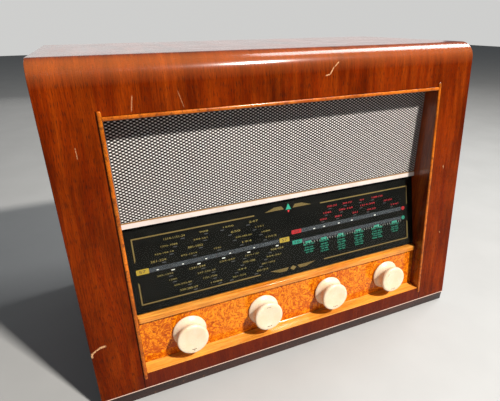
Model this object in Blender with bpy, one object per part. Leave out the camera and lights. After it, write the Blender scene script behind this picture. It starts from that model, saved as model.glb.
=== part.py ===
"""Table radio in a veneered cabinet: leaning front with a rolled top edge, metal grille, glass tuning
dial, four knobs on a burr panel, and the chassis, valves, tuning drive and loudspeaker inside.

Metres, +Z up. The set faces -Y. The origin is under the middle of the set, on the table.
"""

from math import acos, asin, atan2, ceil, cos, hypot, pi, radians, sin, tan

import bmesh
import bpy
from mathutils import Matrix, Vector

# ---- driving dimensions ---------------------------------------------------------------------
WIDTH = 0.520
CABINET_DEPTH = 0.274
TOP = 0.3845  # height of the cabinet's top above the table
PLINTH_HEIGHT = 0.0135
BOARD = 0.012  # plywood of the cabinet
FRONT_Y = -0.13646  # lower front edge of the cabinet
BACK_Y = FRONT_Y + CABINET_DEPTH
LEAN = radians(6.8)  # the front leans back from upright
ROLL_RADIUS = 0.022  # where the front rolls over into the top
GAP = 0.0003  # between pieces that touch
PLINTH_INSET = 0.0010
PLINTH_THICKNESS = 0.018

# The recess in the front. s runs up the leaning front, d runs inwards from it.
OPENING_HALF = 0.2098
WALL_HALF = 0.2055  # inner face of the recess walls
WALL_THICKNESS = 0.004
WALL_DEPTH = 0.034
SILL_S = 0.0217  # top of the bottom rail
LINTEL_S = 0.3210  # bottom of the top rail
HEAD_S = 0.3170  # underside of the recess's top wall
FIT_HALF = WALL_HALF - GAP  # half length of what lies between the walls

BEAD_PROUD = 0.0016
BEAD_WIDTH = 0.004
BEAD_S = (0.0145, 0.3265)

PANEL_D = 0.0155
PANEL_THICKNESS = 0.005
PANEL_S = (0.0253, 0.0826)
NOSING_D = (0.0115, 0.0205)
NOSING_S = (0.0829, 0.0903)

GLASS_S, GLASS_D = 0.0912, 0.0145  # lower front edge of the dial glass
GLASS_TILT = radians(7.8)  # back from the front's own lean
GLASS_THICKNESS = 0.003
GLASS_HEIGHT = 0.1060
SCALE_G = (0.0033, 0.0041)  # depths behind the glass's face
NEEDLE_G = (0.0055, 0.0070)
BACKPLATE_G = (0.0090, 0.0098)
BACKPLATE_HALF = 0.186
BACKPLATE_TOP = 0.1035
# Windows in the dial scale: x from, x to, bottom, top
LEFT_WINDOW = (-0.1845, -0.0182, 0.0492, 0.0541)
UPPER_WINDOW = (0.0160, 0.1828, 0.0570, 0.0619)
LOWER_WINDOW = (0.0160, 0.1828, 0.0425, 0.0474)

STRIP_S = (0.1965, 0.2032)
STRIP_D = (0.0272, 0.0300)

GRILLE_S, GRILLE_D = 0.2035, 0.0275  # lower edge of the grille
GRILLE_TILT = radians(3.76)  # forward again, so that the grille is nearly upright
GRILLE_HEIGHT = 0.1255
MESH_THICKNESS = 0.001
BAFFLE_G = (0.0030, 0.0110)
BAFFLE_T = (0.0020, 0.1350)
SPEAKER_T = 0.0650  # speaker's centre above the grille's lower edge
SPEAKER_HOLE = 0.0540

KNOB_S = 0.0535
KNOB_X = (-0.1475, -0.0475, 0.0525, 0.1525)  # volume, tone, waveband, tuning
KNOB_FRONT = -0.0055
KNOB_BACK = 0.0140
SPINDLE_RADIUS = 0.003
BORE_RADIUS = SPINDLE_RADIUS + GAP
TUNING_RADIUS = 0.004  # where the cord turns round the spindle
BUSH_RADIUS = 0.0048
CHASSIS_D = 0.0330
SHEET = 0.0012
BEHIND_SHEET = CHASSIS_D + SHEET + GAP
CHASSIS_HALF = 0.185
CHASSIS_TOP = 0.092
CHASSIS_BACK = 0.100
BASE_TOP = PLINTH_HEIGHT + BOARD
DECK = CHASSIS_TOP + GAP  # what stands on the chassis starts here

CORD_Y = -0.066  # the plane of the drive cord
CORD_RADIUS = 0.0005
DRUM_RADIUS = 0.0475
DRUM_X, DRUM_Z = 0.100, 0.1465
PULLEY_RADIUS = 0.006
PULLEY_X, PULLEY_Z = 0.180, 0.198
NEEDLE_X = (sum(LEFT_WINDOW[:2]) / 2, sum(UPPER_WINDOW[:2]) / 2)

COVER_Y = (BACK_Y - 0.0095, BACK_Y - 0.0063)
SOCKET_WINDOW = (0.052, 0.128, 0.045, 0.070)
INLET_X, INLET_Z, INLET_HOLE = -0.150, 0.055, 0.0065

# ---- places ---------------------------------------------------------------------------------
FRONT = Matrix.Translation((0, FRONT_Y, PLINTH_HEIGHT)) @ Matrix.Rotation(-LEAN, 4, "X")
GLASS = FRONT @ Matrix.Translation((0, GLASS_D, GLASS_S)) @ Matrix.Rotation(-GLASS_TILT, 4, "X")
GRILLE = FRONT @ Matrix.Translation((0, GRILLE_D, GRILLE_S)) @ Matrix.Rotation(GRILLE_TILT, 4, "X")
SPEAKER = GRILLE @ Matrix.Translation((0, 0, SPEAKER_T))


def spindle_height(y):
    """Height of a control spindle's axis where it crosses an upright plane."""
    along = (y - FRONT_Y - KNOB_S * sin(LEAN)) / cos(LEAN)
    return (FRONT @ Vector((0, along, KNOB_S))).z


# ---- finishes -------------------------------------------------------------------------------
FINISHES = {
    "veneer": ((0.20, 0.035, 0.008), 0.20, 0.0),
    "plywood": ((0.45, 0.28, 0.14), 0.60, 0.0),
    "plinth": ((0.035, 0.010, 0.007), 0.35, 0.0),
    "beading": ((0.75, 0.28, 0.06), 0.25, 0.0),
    "burr": ((0.72, 0.26, 0.05), 0.20, 0.0),
    "bakelite": ((0.88, 0.80, 0.62), 0.25, 0.0),
    "cream_paint": ((0.78, 0.68, 0.58), 0.40, 0.0),
    "anodised": ((0.75, 0.73, 0.70), 0.35, 1.0),
    "black_board": ((0.02, 0.02, 0.02), 0.80, 0.0),
    "glass": ((0.02, 0.02, 0.02), 0.05, 0.0),
    "dial_black": ((0.01, 0.01, 0.01), 0.30, 0.0),
    "white_paint": ((0.80, 0.80, 0.76), 0.50, 0.0),
    "steel": ((0.55, 0.55, 0.53), 0.40, 1.0),
    "aluminium": ((0.80, 0.80, 0.80), 0.35, 1.0),
    "laminations": ((0.06, 0.06, 0.06), 0.50, 0.4),
    "hardboard": ((0.22, 0.12, 0.06), 0.75, 0.0),
    "paper_cone": ((0.05, 0.045, 0.04), 0.90, 0.0),
    "rubber": ((0.02, 0.02, 0.02), 0.70, 0.0),
    "cord": ((0.45, 0.38, 0.25), 0.80, 0.0),
    "red_paint": ((0.70, 0.03, 0.03), 0.40, 0.0),
}


def finish(name):
    """The Principled material of that finish."""
    if name in bpy.data.materials:
        return bpy.data.materials[name]
    colour, roughness, metallic = FINISHES[name]
    made = bpy.data.materials.new(name)
    made.use_nodes = True
    shader = made.node_tree.nodes["Principled BSDF"]
    shader.inputs["Base Color"].default_value = (*colour, 1)
    shader.inputs["Roughness"].default_value = roughness
    shader.inputs["Metallic"].default_value = metallic
    return made


# ---- modelling ------------------------------------------------------------------------------
def add_object(name, data, material, parent=None):
    obj = bpy.data.objects.new(name, data)
    obj.data.materials.append(finish(material))
    bpy.context.scene.collection.objects.link(obj)
    obj.parent = parent
    return obj


def add_piece(name, bm, material, parent=None):
    """Puts the finished mesh into the scene as one named piece."""
    bmesh.ops.recalc_face_normals(bm, faces=bm.faces)
    mesh = bpy.data.meshes.new(name)
    bm.to_mesh(mesh)
    bm.free()
    mesh.shade_smooth()
    mesh.set_sharp_from_angle(angle=radians(35))
    return add_object(name, mesh, material, parent)


def add_place(name, parent=None, matrix=Matrix()):
    """An empty that pieces hang on: a leaning frame or a joint's axis."""
    place = bpy.data.objects.new(name, None)
    bpy.context.scene.collection.objects.link(place)
    place.parent = parent
    place.matrix_basis = matrix
    return place


def box(x, y, z):
    """A block between two x, two y and two z."""
    bm = bmesh.new()
    bmesh.ops.create_cube(bm, size=1)
    size = [b - a for a, b in (x, y, z)]
    middle = [(a + b) / 2 for a, b in (x, y, z)]
    bmesh.ops.scale(bm, vec=size, verts=bm.verts)
    bmesh.ops.translate(bm, vec=middle, verts=bm.verts)
    return bm


def prism(outline, x):
    """An outline of (y, z) points, drawn out between two x."""
    bm = bmesh.new()
    face = bm.faces.new([bm.verts.new((x[0], *point)) for point in outline])
    made = bmesh.ops.extrude_face_region(bm, geom=[face])
    far = [v for v in made["geom"] if isinstance(v, bmesh.types.BMVert)]
    bmesh.ops.translate(bm, vec=(x[1] - x[0], 0, 0), verts=far)
    bmesh.ops.recalc_face_normals(bm, faces=bm.faces)
    return bm


def turned(profile, steps, ring=False):
    """A profile of (y, radius) points turned about the Y axis. A ring's profile closes on itself."""
    bm = bmesh.new()
    verts = [bm.verts.new((radius, y, 0)) for y, radius in profile]
    edges = [bm.edges.new(pair) for pair in zip(verts, verts[1:])]
    if ring:
        edges.append(bm.edges.new((verts[-1], verts[0])))
    bmesh.ops.spin(
        bm, geom=verts + edges, axis=(0, 1, 0), cent=(0, 0, 0), angle=2 * pi, steps=steps, use_merge=True
    )
    bmesh.ops.remove_doubles(bm, verts=bm.verts, dist=1e-6)
    bmesh.ops.recalc_face_normals(bm, faces=bm.faces)
    return bm


def moved(bm, by):
    """The same mesh shifted by a vector or placed by a matrix."""
    matrix = by if isinstance(by, Matrix) else Matrix.Translation(by)
    bmesh.ops.transform(bm, matrix=matrix, verts=bm.verts)
    return bm


def boolean(body, tool, operation):
    """One mesh with another cut from it or joined to it."""
    pair = []
    for bm in (body, tool):
        mesh = bpy.data.meshes.new("work")
        bm.to_mesh(mesh)
        bm.free()
        pair.append(bpy.data.objects.new("work", mesh))
        bpy.context.scene.collection.objects.link(pair[-1])
    modifier = pair[0].modifiers.new("boolean", "BOOLEAN")
    modifier.object = pair[1]
    modifier.operation = operation
    result = bmesh.new()
    result.from_object(pair[0], bpy.context.evaluated_depsgraph_get())
    for obj in pair:
        bpy.data.meshes.remove(obj.data)
    return result


def cut(body, tool):
    return boolean(body, tool, "DIFFERENCE")


def joined(*parts):
    """Overlapping meshes made into one body."""
    body = parts[0]
    for part in parts[1:]:
        body = boolean(body, part, "UNION")
    return body


def cylinder(y, radius, steps=16):
    return turned([(y[0], 0), (y[0], radius), (y[1], radius), (y[1], 0)], steps)


# ---- cabinet --------------------------------------------------------------------------------
def shell_line(depth):
    """The front, roll and top as (y, z) points, at a depth inside the cabinet's outer face."""
    centre_z = TOP - ROLL_RADIUS
    foot = FRONT_Y + depth / cos(LEAN)
    centre_y = FRONT_Y + (centre_z - PLINTH_HEIGHT) * tan(LEAN) + ROLL_RADIUS / cos(LEAN)
    radius = ROLL_RADIUS - depth
    steps = 10
    turn = pi / 2 - LEAN
    angles = [pi - LEAN - turn * i / steps for i in range(steps + 1)]
    arc = [(centre_y + radius * cos(a), centre_z + radius * sin(a)) for a in angles]
    return [(foot, PLINTH_HEIGHT), *arc, (BACK_Y, TOP - depth)]


def add_cabinet():
    outline = shell_line(0) + shell_line(BOARD)[::-1]
    opening = box((-OPENING_HALF, OPENING_HALF), (-0.02, 0.03), (SILL_S, LINTEL_S))
    shell = cut(prism(outline, (-WIDTH / 2, WIDTH / 2)), moved(opening, FRONT))
    add_piece("front_shell", shell, "veneer")

    side = shell_line(BOARD + GAP) + [(BACK_Y, PLINTH_HEIGHT)]
    outer, inner = WIDTH / 2, WIDTH / 2 - BOARD
    add_piece("left_side", prism(side, (-outer, -inner)), "veneer")
    add_piece("right_side", prism(side, (inner, outer)), "veneer")

    front_edge = FRONT_Y + (BOARD + GAP) / cos(LEAN) + BOARD * tan(LEAN)
    reach = inner - GAP
    base = box((-reach, reach), (front_edge, COVER_Y[0] - GAP), (PLINTH_HEIGHT, BASE_TOP))
    add_piece("base_board", base, "plywood")

    half = WIDTH / 2 - PLINTH_INSET
    front = (FRONT_Y + PLINTH_INSET, FRONT_Y + PLINTH_INSET + PLINTH_THICKNESS)
    height = (0, PLINTH_HEIGHT - GAP)
    run = (front[1] + GAP, BACK_Y - PLINTH_INSET)
    add_piece("plinth_front", box((-half, half), front, height), "plinth")
    add_piece("plinth_left", box((-half, PLINTH_THICKNESS - half), run, height), "plinth")
    add_piece("plinth_right", box((half - PLINTH_THICKNESS, half), run, height), "plinth")


def add_recess(front):
    inner, outer = WALL_HALF, WALL_HALF + WALL_THICKNESS
    height = (SILL_S + GAP, LINTEL_S - GAP)
    for name, x in (("left", (-outer, -inner)), ("right", (inner, outer))):
        add_piece(f"recess_{name}_wall", box(x, (0, WALL_DEPTH), height), "veneer", front)
        add_bead(f"{name}_bead", (x[0] + x[1]) / 2, front)
    top = box((-FIT_HALF, FIT_HALF), (0, 0.019), (HEAD_S, LINTEL_S - GAP))
    add_piece("recess_top_wall", top, "veneer", front)
    lay = Matrix.Translation((-FIT_HALF, -GAP, HEAD_S + BEAD_WIDTH / 2)) @ Matrix.Rotation(pi / 2, 4, "Y")
    add_piece("top_bead", moved(half_round(2 * FIT_HALF), lay), "beading", front)


def half_round(length):
    """A half-round moulding that stands on Z, with its flat on the plane of y = 0."""
    steps = 6
    angles = [pi + pi * i / steps for i in range(steps + 1)]
    points = [(BEAD_WIDTH / 2 * cos(a), (BEAD_PROUD - GAP) * sin(a)) for a in angles]
    bm = bmesh.new()
    face = bm.faces.new([bm.verts.new((x, y, 0)) for x, y in points])
    made = bmesh.ops.extrude_face_region(bm, geom=[face])
    top = [v for v in made["geom"] if isinstance(v, bmesh.types.BMVert)]
    bmesh.ops.translate(bm, vec=(0, 0, length), verts=top)
    return bm


def add_bead(name, x, front):
    bead = moved(half_round(BEAD_S[1] - BEAD_S[0]), Vector((x, -GAP, BEAD_S[0])))
    add_piece(name, bead, "beading", front)


def add_back():
    inner = WIDTH / 2 - BOARD - 0.001
    cover = box((-inner, inner), COVER_Y, (PLINTH_HEIGHT + 0.001, TOP - BOARD - 0.001))
    through = (COVER_Y[0] - 0.01, COVER_Y[1] + 0.01)
    for row in range(4):
        z = 0.215 + 0.034 * row
        for column in range(9):
            x = 0.046 * (column - 4)
            cover = cut(cover, box((x - 0.016, x + 0.016), through, (z, z + 0.008)))
    cover = cut(cover, box(SOCKET_WINDOW[:2], through, SOCKET_WINDOW[2:]))
    hole = moved(cylinder(through, INLET_HOLE), Vector((INLET_X, 0, INLET_Z)))
    add_piece("back_cover", cut(cover, hole), "hardboard")

    left, right, bottom, top = SOCKET_WINDOW
    plate_y = (COVER_Y[0] - GAP - 0.002, COVER_Y[0] - GAP)
    plate = box((left - 0.008, right + 0.008), plate_y, (bottom - 0.006, top + 0.006))
    for i in range(5):
        place = Vector((left + 0.010 + 0.014 * i, 0, (bottom + top) / 2))
        plate = cut(plate, moved(cylinder(through, 0.002, 12), place))
    add_piece("socket_panel", plate, "black_board")

    lip = 0.0015
    inside, outside = COVER_Y[0] - GAP, COVER_Y[1] + GAP
    groove, bore, rim = INLET_HOLE - GAP, 0.004, INLET_HOLE + 0.0025
    profile = [
        (inside - lip, bore),
        (inside - lip, rim),
        (inside, rim),
        (inside, groove),
        (outside, groove),
        (outside, rim),
        (outside + lip, rim),
        (outside + lip, bore),
    ]
    grommet = moved(turned(profile, 20, ring=True), Vector((INLET_X, 0, INLET_Z)))
    add_piece("mains_inlet", grommet, "rubber")


# ---- grille and loudspeaker -----------------------------------------------------------------
def add_grille(grille, front):
    span = (-FIT_HALF, FIT_HALF)
    add_piece("grille_mesh", box(span, (0, MESH_THICKNESS), (0, GRILLE_HEIGHT)), "anodised", grille)
    add_piece("grille_strip", box(span, STRIP_D, STRIP_S), "cream_paint", front)
    hole = moved(cylinder((0, 0.02), SPEAKER_HOLE, 40), Vector((0, 0, SPEAKER_T)))
    add_piece("baffle_board", cut(box(span, BAFFLE_G, BAFFLE_T), hole), "black_board", grille)


def add_speaker(speaker):
    flange = BAFFLE_G[1] + GAP
    wall = 0.0012
    mouth, throat, depth = 0.0580, 0.0260, 0.0500
    basket = [
        (flange, SPEAKER_HOLE),
        (flange, 0.0650),
        (flange + 0.0015, 0.0650),
        (flange + 0.0015, mouth),
        (depth, throat),
        (depth + 0.0015, throat),
        (depth + 0.0015, 0.0120),
        (depth, 0.0120),
        (depth, throat - wall),
        (flange + 0.0015, mouth - wall),
    ]
    add_piece("speaker_basket", turned(basket, 32, ring=True), "steel", speaker)
    back = depth + 0.0015 + GAP
    magnet = [(back, 0), (back, 0.0270), (back + 0.0180, 0.0270), (back + 0.0200, 0.0250), (back + 0.0200, 0)]
    add_piece("speaker_magnet", turned(magnet, 24), "steel", speaker)
    cone = [
        (0.0360, 0),
        (0.0380, 0.0090),
        (0.0420, 0.0130),
        (0.0150, 0.0500),
        (0.0160, 0.0515),
        (0.0440, 0.0130),
        (0.0390, 0.0095),
        (0.0370, 0),
    ]
    axis = add_place("speaker_cone_axis", speaker)
    add_piece("speaker_cone", turned(cone, 32), "paper_cone", axis)


# ---- dial -----------------------------------------------------------------------------------
def add_dial(glass):
    span = (-FIT_HALF, FIT_HALF)
    add_piece("dial_glass", box(span, (0, GLASS_THICKNESS), (0, GLASS_HEIGHT)), "glass", glass)
    scale = box(span, SCALE_G, (0.002, 0.105))
    for left, right, bottom, top in (LEFT_WINDOW, UPPER_WINDOW, LOWER_WINDOW):
        scale = cut(scale, box((left, right), (0, 0.01), (bottom, top)))
    add_piece("dial_scale", scale, "dial_black", glass)

    plate = box((-BACKPLATE_HALF, BACKPLATE_HALF), BACKPLATE_G, (0.004, BACKPLATE_TOP))
    for x in (-PULLEY_X, PULLEY_X):
        pin = moved(cylinder((-0.0768, CORD_Y + 0.0024), 0.0015, 12), Vector((x, 0, PULLEY_Z)))
        plate = joined(plate, moved(pin, GLASS.inverted()))
    add_piece("dial_backplate", plate, "white_paint", glass)

    lamp_g = sum(BACKPLATE_G) / 2
    lamp = [(0, 0), (0, 0.0045), (0.009, 0.0045), (0.010, 0.0038), (0.020, 0.0038), (0.0225, 0.0022), (0.023, 0)]
    for name, x in (("left_dial_lamp", -0.196), ("right_dial_lamp", 0.196)):
        stand = Matrix.Translation((x, lamp_g, 0.040)) @ Matrix.Rotation(pi / 2, 4, "X")
        add_piece(name, moved(turned(lamp, 12), stand), "glass", glass)


def add_pointer(glass):
    """A bar behind the scale with a needle for each half of the dial, and an arm back to the cord."""
    slide = add_place("pointer_slide", glass)
    left, right = NEEDLE_X
    half = 0.0006
    bar = box((left - half, right + half), NEEDLE_G, (0.0990, 0.1020))
    for x in NEEDLE_X:
        bar = joined(bar, box((x - half, x + half), (NEEDLE_G[0], 0.0062), (0.0395, 0.0995)))
    cord = GLASS.inverted() @ Vector((0, CORD_Y, PULLEY_Z + PULLEY_RADIUS + 0.0008))
    under = cord.z - CORD_RADIUS - GAP
    rise = box((-0.004, 0.004), NEEDLE_G, (0.1015, 0.1054))
    arm = box((-0.0035, 0.0035), (0.0060, cord.y + 0.0007), (0.1042, 0.1053))
    tab = box((-0.003, 0.003), (cord.y - 0.0007, cord.y + 0.0006), (0.1046, under))
    add_piece("pointer_carriage", joined(bar, rise, arm, tab), "red_paint", slide)


# ---- control panel, knobs and controls ------------------------------------------------------
def add_panel(front):
    panel = box((-FIT_HALF, FIT_HALF), (PANEL_D, PANEL_D + PANEL_THICKNESS), PANEL_S)
    for x in KNOB_X:
        hole = moved(cylinder((0, 0.05), BUSH_RADIUS + 0.0006, 20), Vector((x, 0, KNOB_S)))
        panel = cut(panel, hole)
    add_piece("control_panel", panel, "burr", front)

    low, high = NOSING_S
    fore, back = NOSING_D
    radius = (high - low) / 2
    steps = 8
    angles = [-pi / 2 - pi * i / steps for i in range(steps + 1)]
    nose = [(fore + radius * (1 + cos(a)), low + radius * (1 + sin(a))) for a in angles]
    nosing = prism([*nose, (back, high), (back, low)], (-FIT_HALF, FIT_HALF))
    add_piece("panel_nosing", nosing, "beading", front)

    sill = box((-FIT_HALF, FIT_HALF), (GAP, PANEL_D + PANEL_THICKNESS), (SILL_S + GAP, PANEL_S[0] - GAP))
    add_piece("panel_sill", sill, "beading", front)


def knob_profile():
    """Dished face, narrow waist and wide skirt, with a blind bore for the spindle."""
    return [
        (KNOB_FRONT + 0.0010, 0),
        (KNOB_FRONT + 0.0008, 0.0090),
        (KNOB_FRONT, 0.0165),
        (KNOB_FRONT + 0.0006, 0.0185),
        (KNOB_FRONT + 0.0022, 0.0192),
        (KNOB_FRONT + 0.0046, 0.0186),
        (KNOB_FRONT + 0.0090, 0.0176),
        (KNOB_FRONT + 0.0130, 0.0186),
        (KNOB_BACK - 0.0030, 0.0208),
        (KNOB_BACK - 0.0010, 0.0213),
        (KNOB_BACK, 0.0210),
        (KNOB_BACK, BORE_RADIUS),
        (-0.0010, BORE_RADIUS),
        (-0.0010, 0),
    ]


def spindle_profile(end):
    return [(-0.0005, 0), (-0.0005, SPINDLE_RADIUS), (end, SPINDLE_RADIUS), (end, 0)]


def tuning_profile():
    step, end = 0.0220, 0.0720
    return [
        (-0.0005, 0),
        (-0.0005, SPINDLE_RADIUS),
        (step, SPINDLE_RADIUS),
        (step, TUNING_RADIUS),
        (end, TUNING_RADIUS),
        (end, 0),
    ]


def bush(shape, end):
    """A threaded bush through the chassis's front, blind at its end, with a shape behind the sheet."""
    start, floor = 0.0240, end - 0.0012
    bore = [(floor, 0), (floor, BORE_RADIUS), (start, BORE_RADIUS), (start, BUSH_RADIUS)]
    return [*bore, (BEHIND_SHEET, BUSH_RADIUS), *shape, (end, 0)]


def potentiometer():
    end, radius = BEHIND_SHEET + 0.0120, 0.0140
    return bush([(BEHIND_SHEET, radius), (end, radius)], end)


def wafer_switch():
    """A mounting plate and two switch wafers on their spacers."""
    wafer, spacer, end = 0.0190, 0.0060, 0.0235
    steps = [(0, wafer), (0.0030, wafer), (0.0030, spacer), (0.0115, spacer), (0.0115, wafer)]
    steps += [(0.0135, wafer), (0.0135, spacer), (0.0215, spacer), (0.0215, wafer), (end, wafer)]
    return bush([(BEHIND_SHEET + y, radius) for y, radius in steps], BEHIND_SHEET + end)


def tuning_bush_profile():
    start, end, bore = 0.0240, BEHIND_SHEET + 0.0030, TUNING_RADIUS + GAP
    barrel, flange = 0.0056, 0.0090
    return [
        (start, bore),
        (start, barrel),
        (BEHIND_SHEET, barrel),
        (BEHIND_SHEET, flange),
        (end, flange),
        (end, bore),
    ]


def add_controls(front):
    """Each control's knob and spindle hang on its own axis, with the fixed control behind them."""
    names = ("volume", "tone", "waveband", "tuning")
    axes = [add_place(f"{name}_axis", front, Matrix.Translation((x, 0, KNOB_S))) for name, x in zip(names, KNOB_X)]
    for name, axis in zip(names, axes):
        add_piece(f"{name}_knob", turned(knob_profile(), 32), "bakelite", axis)
    add_piece("volume_spindle", turned(spindle_profile(0.0445), 12), "steel", axes[0])
    add_piece("tone_spindle", turned(spindle_profile(0.0445), 12), "steel", axes[1])
    add_piece("waveband_spindle", turned(spindle_profile(0.0560), 12), "steel", axes[2])
    add_piece("tuning_spindle", turned(tuning_profile(), 16), "steel", axes[3])

    seats = [Vector((x, 0, KNOB_S)) for x in KNOB_X]
    add_piece("volume_control", moved(turned(potentiometer(), 20), seats[0]), "steel", front)
    add_piece("tone_control", moved(turned(potentiometer(), 20), seats[1]), "steel", front)
    add_piece("waveband_switch", moved(turned(wafer_switch(), 20), seats[2]), "steel", front)
    add_piece("tuning_bush", moved(turned(tuning_bush_profile(), 20, ring=True), seats[3]), "steel", front)


# ---- chassis --------------------------------------------------------------------------------
def chassis_line(depth):
    """The folded sheet's line as (y, z) points, at a depth inside its outer face."""
    top = CHASSIS_TOP - depth

    def front_y(z):
        base = FRONT @ Vector((0, CHASSIS_D + depth, 0))
        return base.y + (z - base.z) * tan(LEAN)

    foot = BASE_TOP + GAP
    back = CHASSIS_BACK - depth
    return [(front_y(foot), foot), (front_y(top), top), (back, top), (back, foot)]


def add_chassis():
    sheet = prism(chassis_line(0) + chassis_line(SHEET)[::-1], (-CHASSIS_HALF, CHASSIS_HALF))
    for x in KNOB_X:
        hole = moved(cylinder((CHASSIS_D - 0.01, CHASSIS_D + 0.01), 0.0061, 20), Vector((x, 0, KNOB_S)))
        sheet = cut(sheet, moved(hole, FRONT))
    slot = box((0.142, 0.172), (CORD_Y - 0.004, CORD_Y + 0.004), (CHASSIS_TOP - 0.01, CHASSIS_TOP + 0.01))
    add_piece("chassis", cut(sheet, slot), "steel")


def add_transformer(name, centre, core, coil):
    """A stack of laminations round a winding."""
    x, y = centre
    block = [(x - core[0] / 2, x + core[0] / 2), (y - core[1] / 2, y + core[1] / 2), (DECK, DECK + core[2])]
    middle = DECK + core[2] / 2
    wound = [
        (x - coil[0] / 2, x + coil[0] / 2),
        (y - coil[1] / 2, y + coil[1] / 2),
        (middle - coil[2] / 2, middle + coil[2] / 2),
    ]
    add_piece(name, joined(box(*block), box(*wound)), "laminations")


def add_upright(name, centre, profile, steps, material):
    """A turned piece standing on the chassis, its profile given as (height, radius) points."""
    stand = Matrix.Translation((*centre, DECK)) @ Matrix.Rotation(pi / 2, 4, "X")
    add_piece(name, moved(turned(profile, steps), stand), material)


def valve(radius, height):
    """Holder, glass envelope, domed top and sealed tip."""
    return [
        (0, 0),
        (0, radius + 0.0020),
        (0.0060, radius + 0.0020),
        (0.0060, radius),
        (height - 0.0080, radius),
        (height - 0.0035, radius * 0.75),
        (height - 0.0020, 0.0018),
        (height, 0.0008),
        (height, 0),
    ]


def add_chassis_top():
    add_transformer("mains_transformer", (-0.140, 0.035), (0.066, 0.046, 0.055), (0.044, 0.070, 0.038))
    add_transformer("output_transformer", (-0.060, -0.020), (0.038, 0.020, 0.032), (0.024, 0.034, 0.020))
    can = [(0, 0), (0, 0.0175), (0.072, 0.0175), (0.074, 0.0155), (0.074, 0)]
    add_upright("smoothing_capacitor", (-0.135, -0.040), can, 20, "aluminium")
    valves = (
        ("rectifier_valve", -0.082, 0.0105, 0.066),
        ("output_valve", -0.040, 0.0105, 0.068),
        ("detector_valve", 0.002, 0.0105, 0.054),
        ("if_amplifier_valve", 0.044, 0.0105, 0.054),
        ("frequency_changer_valve", 0.086, 0.0105, 0.060),
    )
    for name, x, radius, height in valves:
        add_upright(name, (x, 0.048), valve(radius, height), 16, "glass")
    for name, x in (("first_if_transformer", 0.044), ("second_if_transformer", 0.002)):
        half = 0.0125
        can = box((x - half, x + half), (-0.010 - half, -0.010 + half), (DECK, DECK + 0.050))
        add_piece(name, can, "aluminium")


# ---- tuning drive ---------------------------------------------------------------------------
def add_gang():
    """The tuning capacitor: fixed plates in a frame, and moving plates that turn between them."""
    axis = add_place("gang_axis", matrix=Matrix.Translation((DRUM_X, CORD_Y, DRUM_Z)))
    plates, pitch, thickness = 8, 0.004, 0.0008
    first, last = -0.0545, -0.0045
    wall = 0.0015
    half, plate_radius = 0.0225, 0.0190
    floor, teeth, head = DRUM_Z - 0.0260, DRUM_Z - 0.0050, DRUM_Z + 0.0220

    outline = [(first, DECK), (first, head), (first + wall, head), (first + wall, floor + 0.0045)]
    start = first + 0.0090
    for i in range(plates + 1):
        y = start + pitch * i
        near, far = y - thickness / 2, y + thickness / 2
        outline += [(near, floor + 0.0045), (near, teeth), (far, teeth), (far, floor + 0.0045)]
    outline += [(last - wall, floor + 0.0045), (last - wall, head), (last, head), (last, DECK)]
    outline += [(last - wall, DECK), (last - wall, floor), (first + wall, floor), (first + wall, DECK)]
    frame = prism(outline, (DRUM_X - half, DRUM_X + half))
    hole = moved(cylinder((first - 0.01, last + 0.01), SPINDLE_RADIUS + 0.0006), Vector((DRUM_X, 0, DRUM_Z)))
    add_piece("gang_frame", cut(frame, hole), "aluminium")

    nose = CORD_Y - 0.0060
    profile = [(nose, 0), (nose, SPINDLE_RADIUS)]
    for i in range(plates):
        y = start + pitch * (i + 0.5)
        near, far = y - thickness / 2, y + thickness / 2
        profile += [(near, SPINDLE_RADIUS), (near, plate_radius), (far, plate_radius), (far, SPINDLE_RADIUS)]
    profile += [(last + 0.0020, SPINDLE_RADIUS), (last + 0.0020, 0)]
    rotor = turned(profile, 24)
    spare = box((-0.03, -SPINDLE_RADIUS - 0.0001), (first, last), (-0.03, 0.03))
    rotor = cut(rotor, spare)
    add_piece("gang_rotor", moved(rotor, Vector((0, -CORD_Y, 0))), "aluminium", axis)

    rim, web, hub = 0.0025, 0.0008, 0.0080
    drum = [
        (-rim - 0.0010, BORE_RADIUS),
        (-rim - 0.0010, hub),
        (-web, hub),
        (-web, DRUM_RADIUS - 0.0020),
        (-rim, DRUM_RADIUS - 0.0020),
        (-rim, DRUM_RADIUS + 0.0025),
        (-0.0012, DRUM_RADIUS + 0.0020),
        (-0.0012, DRUM_RADIUS),
        (0.0012, DRUM_RADIUS),
        (0.0012, DRUM_RADIUS + 0.0020),
        (rim, DRUM_RADIUS + 0.0025),
        (rim, DRUM_RADIUS - 0.0020),
        (web, DRUM_RADIUS - 0.0020),
        (web, hub),
        (rim + 0.0010, hub),
        (rim + 0.0010, BORE_RADIUS),
    ]
    add_piece("drive_drum", turned(drum, 40, ring=True), "bakelite", axis)


def add_pulleys():
    profile = [
        (-0.0020, 0.0018),
        (-0.0020, 0.0082),
        (-0.0010, PULLEY_RADIUS),
        (0.0010, PULLEY_RADIUS),
        (0.0020, 0.0082),
        (0.0020, 0.0018),
    ]
    for name, x in (("left_pulley", -PULLEY_X), ("right_pulley", PULLEY_X)):
        axis = add_place(f"{name}_axis", matrix=Matrix.Translation((x, CORD_Y, PULLEY_Z)))
        add_piece(name, turned(profile, 20, ring=True), "bakelite", axis)


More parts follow.
